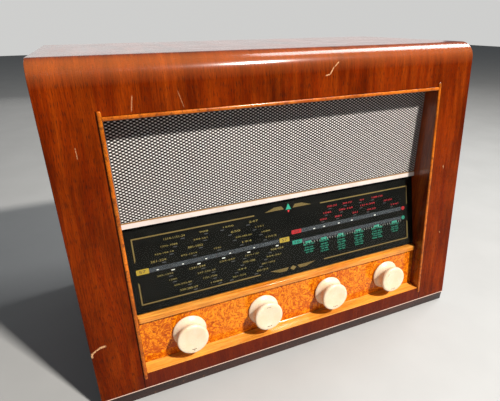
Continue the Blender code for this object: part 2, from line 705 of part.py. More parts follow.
def cord_route():
    """The cord's closed line in (x, z): over both pulleys, round the spindle and back over the drum.

    Each wheel is its centre, its radius and the way the cord goes round it, 1 for anticlockwise.
    """
    sagitta = 0.00015  # how far the cord's short straight runs may dip towards a wheel
    spacing = CORD_RADIUS + GAP + 2 * sagitta
    wheels = (
        (Vector((-PULLEY_X, PULLEY_Z)), PULLEY_RADIUS + spacing, -1),
        (Vector((PULLEY_X, PULLEY_Z)), PULLEY_RADIUS + spacing, -1),
        (Vector((KNOB_X[3], spindle_height(CORD_Y))), TUNING_RADIUS + spacing, -1),
        (Vector((DRUM_X, DRUM_Z)), DRUM_RADIUS + spacing, 1),
    )
    normals = []
    for i, (centre, radius, turn) in enumerate(wheels):
        next_centre, next_radius, next_turn = wheels[(i + 1) % len(wheels)]
        across = next_centre - centre
        heading = atan2(across.y, across.x) - asin((next_turn * next_radius - turn * radius) / hypot(*across))
        normals.append(heading - pi / 2)
    points = []
    for i, (centre, radius, turn) in enumerate(wheels):
        # The outward angle where the cord arrives and where it leaves.
        arrive, leave = (n + (pi if turn < 0 else 0) for n in (normals[i - 1], normals[i]))
        sweep = (leave - arrive) % (2 * pi) if turn > 0 else -((arrive - leave) % (2 * pi))
        steps = ceil(abs(sweep) / (2 * acos(1 - sagitta / radius)))
        for k in range(steps + 1):
            angle = arrive + sweep * k / steps
            points.append(centre + radius * Vector((cos(angle), sin(angle))))
    return points


def add_cord():
    curve = bpy.data.curves.new("drive_cord", "CURVE")
    curve.dimensions = "3D"
    curve.bevel_depth = CORD_RADIUS
    curve.bevel_resolution = 1
    route = cord_route()
    spline = curve.splines.new("POLY")
    spline.points.add(len(route) - 1)
    for point, place in zip(spline.points, route):
        point.co = (place.x, CORD_Y, place.y, 1)
    spline.use_cyclic_u = True
    add_object("drive_cord", curve, "cord")


def main():
    for obj in list(bpy.data.objects):
        bpy.data.objects.remove(obj, do_unlink=True)
    front = add_place("front_frame", matrix=FRONT)
    glass = add_place("glass_frame", front, FRONT.inverted() @ GLASS)
    grille = add_place("grille_frame", front, FRONT.inverted() @ GRILLE)
    speaker = add_place("speaker_frame", grille, GRILLE.inverted() @ SPEAKER)
    add_cabinet()
    add_recess(front)
    add_back()
    add_grille(grille, front)
    add_speaker(speaker)
    add_dial(glass)
    add_pointer(glass)
    add_panel(front)
    add_controls(front)
    add_chassis()
    add_chassis_top()
    add_gang()
    add_pulleys()
    add_cord()


main()
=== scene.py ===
"""Table radio in a veneered cabinet: the finished look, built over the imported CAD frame.

Metres, +Z up, the set faces -Y. On the leaning front, s runs up the front and d runs inwards from it.
"""

from math import cos, pi, radians, sin, tan

import bmesh
import bpy
from mathutils import Matrix, Vector


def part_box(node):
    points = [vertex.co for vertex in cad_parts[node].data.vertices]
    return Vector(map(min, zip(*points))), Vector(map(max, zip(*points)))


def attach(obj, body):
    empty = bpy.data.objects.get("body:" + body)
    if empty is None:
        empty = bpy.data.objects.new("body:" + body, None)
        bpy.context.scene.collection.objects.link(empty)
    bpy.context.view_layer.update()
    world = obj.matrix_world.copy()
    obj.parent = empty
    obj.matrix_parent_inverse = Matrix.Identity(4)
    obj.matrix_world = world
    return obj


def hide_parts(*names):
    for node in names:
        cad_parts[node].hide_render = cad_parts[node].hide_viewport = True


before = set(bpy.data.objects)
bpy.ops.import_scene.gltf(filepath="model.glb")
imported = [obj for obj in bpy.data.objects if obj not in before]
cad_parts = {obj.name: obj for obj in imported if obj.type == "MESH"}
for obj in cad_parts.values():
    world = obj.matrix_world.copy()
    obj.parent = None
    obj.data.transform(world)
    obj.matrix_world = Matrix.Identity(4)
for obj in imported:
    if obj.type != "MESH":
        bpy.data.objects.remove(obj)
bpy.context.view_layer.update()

scene = bpy.context.scene

# ---- camera, lights and floor ---------------------------------------------------------------
# A hand-held view from above the left front corner, a key light over the right shoulder that
# throws the knobs' shadows down to the left, and a long light over the top for the varnish.
CAMERA_PLACE = (-0.2085, -0.4736, 0.4117)
CAMERA_TURN = Matrix.Rotation(radians(-21.83), 3, "Z") @ Matrix.Rotation(radians(64.55), 3, "X")
CAMERA_ROLL = Matrix.Rotation(radians(-0.54), 3, "Z")
LENS = 27.19

camera = bpy.data.objects.new("camera", bpy.data.cameras.new("camera"))
camera.data.lens = LENS
camera.data.sensor_width = 36
camera.data.clip_start = 0.01
camera.location = CAMERA_PLACE
camera.rotation_euler = (CAMERA_TURN @ CAMERA_ROLL).to_euler()
scene.collection.objects.link(camera)
scene.camera = camera


def add_light(name, place, target, width, length, power, colour, seen=True):
    """A rectangular studio light that faces a point."""
    lamp = bpy.data.lights.new(name, "AREA")
    lamp.shape = "RECTANGLE"
    lamp.size, lamp.size_y = width, length
    lamp.energy = power
    lamp.color = colour
    light = bpy.data.objects.new(name, lamp)
    light.location = place
    light.rotation_euler = (Vector(target) - Vector(place)).to_track_quat("-Z", "Y").to_euler()
    light.visible_camera = seen
    scene.collection.objects.link(light)


add_light("key", (0.85, -1.50, 2.02), (0, -0.05, 0.18), 0.16, 0.16, 122, (1.0, 0.96, 0.90))
add_light("fill", (-1.60, -1.10, 0.90), (0, 0, 0.2), 1.2, 1.2, 1.1, (0.92, 0.96, 1.0))
add_light("overhead", (0.95, 0.10, 1.50), (0.1, 0, 0.37), 0.5, 1.0, 18, (0.95, 0.98, 1.0))
add_light("behind", (0.5, 1.90, 0.62), (0, 0.1, 0.40), 3.0, 0.9, 6, (1.0, 0.98, 0.95), seen=False)


def put(kind, values=None, **settings):
    """Adds a shader node to the newest material or group. Its values are plain, or outputs."""
    node = tree.nodes.new("ShaderNode" + kind)
    for name, value in settings.items():
        setattr(node, name, value)
    for name, value in (values or {}).items():
        feed(node.inputs[name], value)
    return node


def feed(socket, value):
    """Links a value into a socket, or sets it there when it is plain."""
    if isinstance(value, bpy.types.NodeSocket):
        tree.links.new(value, socket)
    else:
        socket.default_value = value


def reckon(operation, *values):
    """One Math node's result."""
    return put("Math", dict(enumerate(values)), operation=operation).outputs[0]


def times(first, second):
    """Two values multiplied."""
    return reckon("MULTIPLY", first, second)


def tint(amount, first, second):
    """One colour laid over another by an amount."""
    return put("Mix", {0: amount, 6: first, 7: second}, data_type="RGBA").outputs[2]


def between(value, low, high, start=0.0, end=1.0):
    """A value spread over a range, held at its ends."""
    values = {"Value": value, "From Min": low, "From Max": high, "To Min": start, "To Max": end}
    return put("MapRange", values, clamp=True).outputs["Result"]


def stretched(vector, scale, shift=(0, 0, 0)):
    """A pattern's coordinates, scaled and shifted."""
    return put("Mapping", {"Vector": vector, "Scale": scale, "Location": shift}).outputs["Vector"]


def speckle(vector, scale, detail=3.0, roughness=0.55, distortion=0.0):
    """Noise between 0 and 1."""
    values = {"Vector": vector, "Scale": scale, "Detail": detail}
    values |= {"Roughness": roughness, "Distortion": distortion}
    return put("TexNoise", values).outputs[0]


def rgb(red, green, blue):
    """A colour given as 0 to 255 on screen, made linear."""
    return (*(((c / 255 + 0.055) / 1.055) ** 2.4 if c > 10 else c / 3295 for c in (red, green, blue)), 1)


def new_material(name, roughness, **values):
    """Starts a material, which becomes the one that the shader helpers work on."""
    global tree
    made = bpy.data.materials.new(name)
    made.use_nodes = True
    tree = made.node_tree
    look(roughness=roughness, **values)
    return made


def look(**values):
    """Sets or feeds inputs of the newest material's shader, named in small letters."""
    for name, value in values.items():
        label = name.replace("_", " ").title().replace("Ior", "IOR")
        feed(tree.nodes["Principled BSDF"].inputs[label], value)


def object_space():
    """The object's own coordinates, which are the frame's."""
    return put("TexCoord").outputs["Object"]


def parted(vector):
    """A vector's X, Y and Z."""
    return put("SeparateXYZ", {0: vector}).outputs


def along_grain(x, y, z):
    """The object's coordinates in another order, so that the grain runs along the second."""
    parts = parted(object_space())
    return put("CombineXYZ", {"X": parts[x], "Y": parts[y], "Z": parts[z]}).outputs[0]


def raised(height, distance, strength=1.0):
    """Lets a height pattern bend the shader's normal."""
    values = {"Height": height, "Distance": distance, "Strength": strength}
    look(normal=put("Bump", values).outputs["Normal"])


def mottled(name, roughness, base, worn, noise, spread, relief=None):
    """A finish of two colours in a noise pattern, which can also be its relief."""
    made = new_material(name, roughness)
    pattern = between(speckle(object_space(), *noise), *spread)
    look(base_color=tint(pattern, base, worn))
    if relief:
        raised(pattern, *relief)
    return made


world = bpy.data.worlds.new("studio")
world.use_nodes = True
tree = world.node_tree
soft = tree.nodes["Background"]
feed(soft.inputs["Color"], (0.80, 0.86, 0.92, 1))
feed(soft.inputs["Strength"], 0.14)
pale = put("Background", {"Color": (0.62, 0.62, 0.61, 1)})
seen_ray = put("LightPath").outputs["Is Camera Ray"]
sky = put("MixShader", {0: seen_ray, 1: soft.outputs[0], 2: pale.outputs[0]})
feed(tree.nodes["World Output"].inputs["Surface"], sky.outputs[0])
scene.world = world
scene.view_settings.view_transform = "Standard"

floor_data = bpy.data.meshes.new("floor")
floor_data.from_pydata([(-6, -6, 0), (6, -6, 0), (6, 6, 0), (-6, 6, 0)], [], [(0, 1, 2, 3)])
floor = bpy.data.objects.new("floor", floor_data)
scene.collection.objects.link(floor)
floor_finish = new_material("studio_floor", 0.55)
mottle = between(speckle(object_space(), 9.0), 0.3, 0.7)
look(base_color=tint(mottle, rgb(158, 158, 157), rgb(163, 163, 162)))
floor_data.materials.append(floor_finish)

# ---- front and top shell --------------------------------------------------------------------
# One bent plywood board with a polished walnut veneer. Its front leans back, rolls over into the
# top, and has the opening for the grille, the dial and the knobs.
shell_low, shell_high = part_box("front_shell")
HALF_WIDTH = shell_high.x
FOOT = shell_low.z
FRONT_Y = shell_low.y
BACK_Y = shell_high.y
TOP = shell_high.z
LEAN = radians(6.8)
BOARD = 0.012
ROLL_RADIUS = 0.022
ROLL_STEPS = 20
OPENING_HALF = 0.2098
SILL_S, LINTEL_S = 0.0217, 0.3210
GAP = 0.0003
FRONT = Matrix.Translation((0, FRONT_Y, FOOT)) @ Matrix.Rotation(-LEAN, 4, "X")

roll_y = FRONT_Y + (TOP - ROLL_RADIUS - FOOT) * tan(LEAN) + ROLL_RADIUS / cos(LEAN)
roll_z = TOP - ROLL_RADIUS
ROLL_S = (roll_z - FOOT) / cos(LEAN) + ROLL_RADIUS * tan(LEAN)
ROLL_RUN = ROLL_RADIUS * (pi / 2 - LEAN)


def run_along(point):
    """How far up the veneer a point is: up the front, round the roll and back along the top."""
    on_front = FRONT.inverted() @ point
    if on_front.z < ROLL_S:
        return on_front.z
    if point.y > roll_y:
        return ROLL_S + ROLL_RUN + point.y - roll_y
    angle = Vector((-cos(LEAN), sin(LEAN))).angle(Vector((point.y - roll_y, point.z - roll_z)))
    return ROLL_S + ROLL_RADIUS * min(angle, pi / 2 - LEAN)


def extruded(bm, geometry, vector):
    """Draws edges or faces out along a vector and returns the new ones."""
    if isinstance(geometry[0], bmesh.types.BMEdge):
        made = bmesh.ops.extrude_edge_only(bm, edges=geometry)["geom"]
    else:
        made = bmesh.ops.extrude_face_region(bm, geom=geometry)["geom"]
    bmesh.ops.translate(bm, vec=vector, verts=[v for v in made if isinstance(v, bmesh.types.BMVert)])
    return [e for e in made if isinstance(e, type(geometry[0]))]


def transform(bm, matrix):
    """Moves a whole mesh by a matrix."""
    bmesh.ops.transform(bm, matrix=matrix, verts=bm.verts)


def move(bm, way):
    """Shifts a whole mesh."""
    bmesh.ops.translate(bm, vec=way, verts=bm.verts)


def scale(bm, size):
    """Scales a whole mesh along its axes."""
    bmesh.ops.scale(bm, vec=size, verts=bm.verts)


def face_out(bm):
    """Turns the faces outwards."""
    bmesh.ops.recalc_face_normals(bm, faces=bm.faces)


def cut(bm, place, across, **options):
    """Cuts a whole mesh along a plane."""
    whole = bm.verts[:] + bm.edges[:] + bm.faces[:]
    bmesh.ops.bisect_plane(bm, geom=whole, plane_co=place, plane_no=across, **options)


def bevel(bm, geometry, width, segments, affect="EDGES"):
    """Rounds edges or corners."""
    bmesh.ops.bevel(
        bm, geom=geometry, offset=width, offset_type="OFFSET", segments=segments, profile=0.5,
        affect=affect, clamp_overlap=True, material=-1,
    )


def joined(bm, work):
    """Adds one mesh to another and frees it."""
    data = bpy.data.meshes.new("part")
    work.to_mesh(data)
    work.free()
    bm.from_mesh(data)
    bpy.data.meshes.remove(data)


def rounded_edges(bm, width, segments=2, angle=50, choose=None):
    """Bevels the edges that turn by more than an angle."""
    edges = [e for e in bm.edges if e.is_manifold and e.calc_face_angle(0) > radians(angle)]
    if choose:
        edges = [e for e in edges if choose(e)]
    bevel(bm, edges, width, segments)


def finish_piece(name, bm, finish, body, slot, *stands_for, smooth=20):
    """Makes the mesh a piece, gives it its finish, and lets it ride on its CAD body."""
    data = bpy.data.meshes.new(name)
    bm.to_mesh(data)
    bm.free()
    data.shade_smooth()
    data.set_sharp_from_angle(angle=radians(smooth))
    data.materials.append(finish)
    piece = bpy.data.objects.new(name, data)
    scene.collection.objects.link(piece)
    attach(piece, body)
    if stands_for:
        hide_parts(*stands_for)


shell = bmesh.new()
line = [FRONT @ Vector((0, 0, s)) for s in (0, SILL_S, LINTEL_S, ROLL_S - 0.004)]
for i in range(ROLL_STEPS + 1):
    angle = pi - LEAN - (pi / 2 - LEAN) * i / ROLL_STEPS
    line.append(Vector((0, roll_y + ROLL_RADIUS * cos(angle), roll_z + ROLL_RADIUS * sin(angle))))
line += [Vector((0, roll_y + 0.004, TOP)), Vector((0, BACK_Y, TOP))]
rail = [shell.verts.new((-HALF_WIDTH, p.y, p.z)) for p in line]
edges = [shell.edges.new(pair) for pair in zip(rail, rail[1:])]
for step in (HALF_WIDTH - OPENING_HALF, 2 * OPENING_HALF, HALF_WIDTH - OPENING_HALF):
    edges = extruded(shell, edges, (step, 0, 0))
opening = [
    f for f in shell.faces
    if abs(f.calc_center_median().x) < OPENING_HALF
    and SILL_S < (FRONT.inverted() @ f.calc_center_median()).z < LINTEL_S
]
bmesh.ops.delete(shell, geom=opening, context="FACES")
face_out(shell)
if max(shell.faces, key=lambda f: f.calc_center_median().z).normal.z < 0:
    bmesh.ops.reverse_faces(shell, faces=shell.faces)
bmesh.ops.solidify(shell, geom=shell.faces[:], thickness=BOARD)
for vert in shell.verts:
    vert.co.z = max(vert.co.z, FOOT)
rounded_edges(shell, 0.0012, segments=4, choose=lambda e: all(v.co.z < FOOT + 0.0001 for v in e.verts))
rounded_edges(shell, 0.0007)
run_map = shell.loops.layers.uv.new("run")
for face in shell.faces:
    for loop in face.loops:
        loop[run_map].uv = (loop.vert.co.x, run_along(loop.vert.co))


def new_group(name, inputs, outputs):
    """Starts a node group, with its sockets given as (name, kind) pairs."""
    global tree
    tree = group = bpy.data.node_groups.new(name, "ShaderNodeTree")
    for way, sockets in (("INPUT", inputs), ("OUTPUT", outputs)):
        for label, kind in sockets:
            group.interface.new_socket(label, in_out=way, socket_type="NodeSocket" + kind)
    into = group.nodes.new("NodeGroupInput")
    out = group.nodes.new("NodeGroupOutput")
    return group, into.outputs, out.inputs


def use(group, **values):
    """Places a node group in a material, with its own values."""
    node = tree.nodes.new("ShaderNodeGroup")
    node.node_tree = group
    for name, value in values.items():
        feed(node.inputs[name.capitalize()], value)
    return node.outputs


# Grain runs along Y of the vector and across X.
wood_grain, given, result = new_group(
    "wood_grain",
    [("Vector", "Vector"), ("Dark", "Color"), ("Mid", "Color"), ("Light", "Color"), ("Pores", "Float")],
    [("Colour", "Color"), ("Height", "Float")],
)
bend = speckle(stretched(given["Vector"], (9, 2.2, 9)), 1.0, 2.0)
sway = put("CombineXYZ", {"X": times(bend, 0.03)}).outputs[0]
grain = put("VectorMath", {0: given["Vector"], 1: sway}, operation="ADD").outputs[0]
bands = speckle(stretched(grain, (22, 2.4, 22)), 1.0, 3.0, 0.55)
figure = speckle(stretched(grain, (110, 7, 110)), 1.0, 4.0, 0.6)
streaks = speckle(stretched(grain, (850, 30, 850)), 1.0, 3.0, 0.6)
pores = speckle(stretched(grain, (1900, 130, 1900)), 1.0, 1.0)
pores = between(pores, 0.55, 0.66)
cloud = speckle(stretched(given["Vector"], (14, 9, 14), (3, 1, 0)), 1.0, 3.0)
clouded = reckon("ADD", bands, times(cloud, 0.5))
broad = between(clouded, 0.58, 0.92)
colour = tint(broad, given["Dark"], given["Mid"])
colour = tint(between(figure, 0.40, 0.75, 0, 0.7), colour, given["Light"])
patches = speckle(stretched(grain, (26, 13, 26), (7, 2, 4)), 1.0, 3.0, 0.6)
fine = between(streaks, 0.35, 0.65, 0.72, 1.12)
fine = times(fine, between(patches, 0.36, 0.60, 0.74, 1.08))
colour = put("VectorMath", {0: colour, "Scale": fine}, operation="SCALE").outputs[0]
dark_pores = times(pores, given["Pores"])
feed(result["Colour"], tint(dark_pores, colour, (0.020, 0.006, 0.003, 1)))
feed(result["Height"], reckon("SUBTRACT", streaks, pores))

# A straight pale scratch, faded at its ends: centre, direction, length and width on the veneer.
scratch, given, result = new_group(
    "scratch",
    [("Vector", "Vector"), ("Centre", "Vector"), ("Turn", "Float"), ("Length", "Float"), ("Width", "Float")],
    [("Mask", "Float")],
)
ragged = speckle(given["Vector"], 700.0, 2.0)
away = put("VectorMath", {0: given["Vector"], 1: given["Centre"]}, operation="SUBTRACT").outputs[0]
lain = put("VectorRotate", {"Vector": away, "Angle": given["Turn"]}, rotation_type="Z_AXIS")
parts = parted(lain.outputs[0])
wander = times(reckon("SUBTRACT", ragged, 0.5), given["Width"])
side = reckon("ABSOLUTE", reckon("ADD", parts["Y"], wander))
near = reckon("SUBTRACT", 1.0, reckon("DIVIDE", side, given["Width"]))
end = reckon("SUBTRACT", given["Length"], reckon("ABSOLUTE", parts["X"]))
reach = between(end, 0.0, 0.002)
mark = times(between(near, 0.0, 0.5), reach)
feed(result["Mask"], times(mark, between(ragged, 0.3, 0.55)))

VENEER = {
    "dark": rgb(76, 19, 1),
    "mid": rgb(116, 35, 2),
    "light": rgb(144, 57, 6),
    "pores": 0.62,
}
SCRATCHES = (
    # centre across, centre up, angle, half length, width, strength
    (0.0385, 0.3450, -0.20, 0.0034, 0.0008, 0.8),
    (0.0440, 0.3493, -1.00, 0.0052, 0.0008, 0.8),
    (0.0503, 0.3560, -0.70, 0.0044, 0.0007, 0.8),
    (-0.1770, 0.3310, -1.40, 0.0080, 0.0007, 0.35),
    (-0.1300, 0.3315, -1.85, 0.0090, 0.0005, 0.25),
    (-0.2590, 0.0672, -1.40, 0.0032, 0.0017, 0.9),
    (-0.2542, 0.0722, -0.50, 0.0062, 0.0012, 0.8),
    (-0.2464, 0.0752, -0.05, 0.0040, 0.0015, 0.8),
    (0.2300, 0.2120, 1.50, 0.0030, 0.0008, 0.6),
    (0.2380, 0.1100, 1.20, 0.0022, 0.0007, 0.6),
    (-0.2330, 0.2900, 1.55, 0.0060, 0.0005, 0.5),
)
veneer = new_material("polished_veneer", 0.22)
run = put("UVMap", uv_map="run").outputs[0]
grain = use(wood_grain, vector=run, **VENEER)
colour = grain["Colour"]
run_parts = parted(run)
out = reckon("ABSOLUTE", run_parts["X"])
# Painted reflection: the bottom rail below the sill, between the stiles, is tinted a darker mauve brown for
# the sky reflected in its varnish.
below_sill = between(run_parts["Y"], 0.0200, 0.0225, 0.6, 0.0)
painted_rail_reflection = times(below_sill, between(out, 0.205, 0.222, 1.0, 0.0))
colour = tint(painted_rail_reflection, colour, rgb(84, 32, 24))
# Painted shadow: a thin dark line on the veneer beside each side bead, up to the top bead, for the shadow
# the beads throw.
inside = between(out, 0.2106, 0.2111, 1.0, 0.0)
beside_bead = times(between(out, 0.2096, 0.2098), inside)
painted_bead_shadow = times(beside_bead, between(run_parts["Y"], 0.3262, 0.3270, 0.85, 0.0))
colour = tint(painted_bead_shadow, colour, rgb(30, 8, 3))
# Painted highlight: the roll over into the top is tinted a lighter orange as the hazy sheen of its varnish.
sheen_start = between(run_parts["Y"], ROLL_S - 0.006, ROLL_S + 0.012, 0, 0.26)
sheen_end = between(run_parts["Y"], ROLL_S + ROLL_RUN * 0.6, ROLL_S + ROLL_RUN, 1, 0)
painted_roll_sheen = times(sheen_start, sheen_end)
colour = tint(painted_roll_sheen, colour, rgb(196, 112, 58))
# Painted highlight: a pale pink line along the rounded lower edge of the front, where its varnish catches
# the light.
painted_foot_highlight = between(run_parts["Y"], 0.0015, 0.0021, 0.9, 0)
colour = tint(painted_foot_highlight, colour, rgb(240, 208, 190))
for across, height, turn, length, width, strength in SCRATCHES:
    mask = use(scratch, vector=run, centre=(across, height, 0), turn=turn, length=length, width=width)
    colour = tint(times(mask["Mask"], strength), colour, rgb(226, 176, 128))
look(base_color=colour)
haze = speckle(run, 22.0, 4.0, 0.6)
look(roughness=between(haze, 0.3, 0.7, 0.20, 0.36))
look(specular_ior_level=0.03)
polish = between(run_parts["Y"], ROLL_S - 0.006, ROLL_S + ROLL_RUN * 0.5, 0.03, 0.9)
look(coat_weight=polish)
look(coat_roughness=0.15)
raised(grain["Height"], 0.00012, 0.5)

finish_piece("cabinet_shell", shell, veneer, "root", "veneer", "front_shell")

# ---- sides, base and plinth -----------------------------------------------------------------
# The side boards carry the same veneer, with the grain upright. The cabinet stands on three dark
# stained strips, glued under the base board.
def dress(finish, *nodes):
    """Gives CAD nodes their finish."""
    for node in nodes:
        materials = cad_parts[node].data.materials
        materials.clear()
        materials.append(finish)


side_veneer = new_material("side_veneer", 0.24)
lain = along_grain("Y", "Z", "X")
grain = use(wood_grain, vector=lain, **VENEER)
look(base_color=grain["Colour"])
look(roughness=between(speckle(lain, 22.0, 4.0), 0.3, 0.7, 0.20, 0.36))
look(specular_ior_level=0.06, coat_weight=0.12, coat_roughness=0.12)
raised(grain["Height"], 0.00012, 0.5)
dress(side_veneer, "left_side", "right_side")

raw_wood = new_material("raw_plywood", 0.75)
grain = use(
    wood_grain, vector=object_space(), pores=0.3,
    dark=rgb(150, 112, 70), mid=rgb(186, 146, 98), light=rgb(206, 170, 122),
)
look(base_color=grain["Colour"])
raised(grain["Height"], 0.0002, 0.5)
dress(raw_wood, "base_board")

stained = new_material("stained_plinth", 0.38)
lain = along_grain("Z", "X", "Y")
grain = use(
    wood_grain, vector=lain, pores=0.5,
    dark=rgb(30, 12, 9), mid=rgb(52, 22, 15), light=rgb(72, 34, 22),
)
wear = between(speckle(object_space(), 160.0, 3.0), 0.66, 0.74, 0, 0.5)
look(base_color=tint(wear, grain["Colour"], rgb(120, 84, 60)))
raised(grain["Height"], 0.0002, 0.5)
dress(stained, "plinth_front", "plinth_left", "plinth_right")

# ---- recess walls ---------------------------------------------------------------------------
# Thin veneered boards line the opening at its sides and top, glued behind the cabinet's front.
wall_veneer = new_material("recess_veneer", 0.22)
laid = put("VectorRotate", {"Vector": object_space(), "Angle": pi / 2}, rotation_type="X_AXIS")
grain = use(
    wood_grain, vector=laid.outputs[0], pores=0.4,
    dark=rgb(84, 26, 4), mid=rgb(142, 54, 8), light=rgb(188, 88, 20),
)
look(base_color=grain["Colour"])
look(coat_weight=0.5, coat_roughness=0.12)
raised(grain["Height"], 0.00012, 0.5)
dress(wall_veneer, "recess_left_wall", "recess_right_wall", "recess_top_wall")

# ---- beads ----------------------------------------------------------------------------------
# Half-round mouldings of pale varnished wood, pinned round the opening. The side ones run a
# little past the top one and end rounded.
BEAD_PROUD, BEAD_WIDTH = 0.0016, 0.0040
BEAD_S = (0.0145, 0.3265)
WALL_HALF = 0.2055
HEAD_S = 0.3170
bead_wood = new_material("bead_wood", 0.24)
grain = use(
    wood_grain, vector=object_space(), pores=0.25,
    dark=rgb(156, 70, 8), mid=rgb(192, 96, 14), light=rgb(214, 122, 30),
)
knocks = between(speckle(object_space(), 190.0, 3.0, 0.7), 0.54, 0.62, 0, 0.7)
look(base_color=tint(knocks, grain["Colour"], rgb(92, 44, 16)))
look(specular_ior_level=0.15, coat_weight=0.2, coat_roughness=0.12)
raised(knocks, 0.0001, -0.6)


def half_round_rod(length, round_ends):
    """A half-round rod along Z, its flat on y = 0, domed at its ends."""
    bm = bmesh.new()
    bmesh.ops.create_circle(bm, segments=24, radius=BEAD_WIDTH / 2, cap_ends=True)
    extruded(bm, bm.faces[:], (0, 0, length))
    face_out(bm)
    if round_ends:
        rounded_edges(bm, BEAD_WIDTH * 0.42, segments=4, angle=60)
    cut(bm, (0, 0, 0), (0, 1, 0), clear_outer=True)
    bmesh.ops.holes_fill(bm, edges=[e for e in bm.edges if e.is_boundary])
    scale(bm, (1, (BEAD_PROUD - GAP) / (BEAD_WIDTH / 2), 1))
    return bm


bead_x = WALL_HALF + BEAD_WIDTH / 2
for name, x in (("left_bead", -bead_x), ("right_bead", bead_x)):
    bead = half_round_rod(BEAD_S[1] - BEAD_S[0], True)
    transform(bead, FRONT @ Matrix.Translation((x, -GAP, BEAD_S[0])))
    finish_piece(f"{name}_moulding", bead, bead_wood, "root", "beading", name, smooth=40)
fit = WALL_HALF - GAP
bead = half_round_rod(2 * fit, False)
lay = Matrix.Translation((-fit, -GAP, HEAD_S + BEAD_WIDTH / 2)) @ Matrix.Rotation(pi / 2, 4, "Y")
transform(bead, FRONT @ lay)
finish_piece("top_bead_moulding", bead, bead_wood, "root", "beading", "top_bead", smooth=40)

# ---- grille ---------------------------------------------------------------------------------
# Expanded aluminium sheet: slit and pulled open into diamonds, so the strands lean over and only
# the flat bonds between them catch the light. The recess walls grip it in front of the baffle.
GRILLE = FRONT @ Matrix.Translation((0, 0.0275, 0.2035)) @ Matrix.Rotation(radians(3.76), 4, "X")
GRILLE_HEIGHT = 0.1255
DIAMOND_WIDTH, DIAMOND_HEIGHT = 0.00606, 0.00341
STRAND = 0.00042
STRAND_LEAN = 0.00032
SHEET_METAL = 0.00035
diamonds = 108
mesh = bmesh.new()
bmesh.ops.create_grid(mesh, x_segments=diamonds, y_segments=diamonds, size=diamonds / 2)
transform(mesh, Matrix.Rotation(pi / 4, 4, "Z"))
diagonal = 2 ** 0.5
scale(mesh, (DIAMOND_WIDTH / diagonal, DIAMOND_HEIGHT / diagonal, 1))
transform(mesh, Matrix.Rotation(pi / 2, 4, "X"))
move(mesh, (0, 0, GRILLE_HEIGHT / 2))
for place, outwards in (
    ((fit, 0, 0), (1, 0, 0)), ((-fit, 0, 0), (-1, 0, 0)),
    ((0, 0, GRILLE_HEIGHT), (0, 0, 1)), ((0, 0, 0), (0, 0, -1)),
):
    cut(mesh, place, outwards, clear_outer=True)
least = 0.3 * DIAMOND_WIDTH * DIAMOND_HEIGHT / 2
holes = [f for f in mesh.faces if f.calc_area() > least]
bmesh.ops.inset_individual(mesh, faces=holes, thickness=STRAND, use_even_offset=True)
for hole in holes:
    middle = hole.calc_center_median().z
    for vert in hole.verts:
        vert.co.y -= (vert.co.z - middle) / (DIAMOND_HEIGHT / 2) * STRAND_LEAN
bmesh.ops.delete(mesh, geom=holes, context="FACES")
face_out(mesh)
mesh.faces.ensure_lookup_table()
if mesh.faces[0].normal.y > 0:
    bmesh.ops.reverse_faces(mesh, faces=mesh.faces)
bmesh.ops.solidify(mesh, geom=mesh.faces[:], thickness=SHEET_METAL)
move(mesh, (0, 0.0004, 0))
transform(mesh, GRILLE)

metal = new_material("expanded_aluminium", 0.34, metallic=0.25)
dust = between(speckle(object_space(), 60.0, 4.0), 0.35, 0.7)
parts = parted(object_space())
columns = reckon("DIVIDE", parts["X"], DIAMOND_WIDTH)
bond_foot = (GRILLE @ Vector((0, 0, GRILLE_HEIGHT / 2))).z
rise = DIAMOND_HEIGHT * cos(radians(3.04))
rows = reckon("DIVIDE", reckon("SUBTRACT", parts["Z"], bond_foot), rise)
slants = [reckon(way, columns, rows) for way in ("ADD", "SUBTRACT")]
offs = [reckon("ABSOLUTE", reckon("SUBTRACT", s, reckon("ROUND", s))) for s in slants]
# Painted light: the bonds are coloured near white as a painted highlight and the strands darker grey as
# painted shade; the dust noise varies the bonds' colour a little.
bond = between(reckon("MAXIMUM", offs[0], offs[1]), 0.16, 0.29, 1, 0)
painted_bond_highlight = tint(dust, rgb(255, 253, 250), rgb(246, 240, 234))
look(base_color=tint(bond, rgb(104, 96, 92), painted_bond_highlight))
look(roughness=between(dust, 0.0, 1.0, 0.30, 0.48))
finish_piece("grille_sheet", mesh, metal, "root", "anodised", "grille_mesh", smooth=60)

# A painted strip hides the grille's lower edge. A thin brown line along its top is painted shadow, where the
# grille's lower edge shades it.
strip_paint = new_material("cream_strip_paint", 0.42)
stain = between(speckle(object_space(), 45.0, 5.0, 0.65), 0.45, 0.75)
colour = tint(stain, rgb(208, 196, 190), rgb(190, 176, 166))
up = parted(object_space())["Z"]
strip_low, strip_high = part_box("grille_strip")
# Painted shadow: a thin brown band just under the strip's top edge.
painted_edge_shadow = between(up, strip_high.z - 0.0012, strip_high.z - 0.0009)
look(base_color=tint(painted_edge_shadow, colour, rgb(150, 110, 60)))
raised(speckle(object_space(), 500.0, 3.0), 0.00008, 0.5)
dress(strip_paint, "grille_strip")

# ---- baffle and loudspeaker -----------------------------------------------------------------
# A blackened fibre board behind the grille carries the loudspeaker: a pressed steel basket, a
# magnet and a paper cone.
RELIEF = (0.0002, 0.6)
fibres = ((420.0, 4.0), (0.35, 0.7), RELIEF)
dress(mottled("blackened_board", 0.9, rgb(8, 8, 8), rgb(20, 18, 16), *fibres), "baffle_board")
pulp = ((700.0, 4.0), (0.35, 0.7), RELIEF)
dress(mottled("cone_paper", 0.95, rgb(9, 8, 8), rgb(20, 18, 16), *pulp), "speaker_cone")

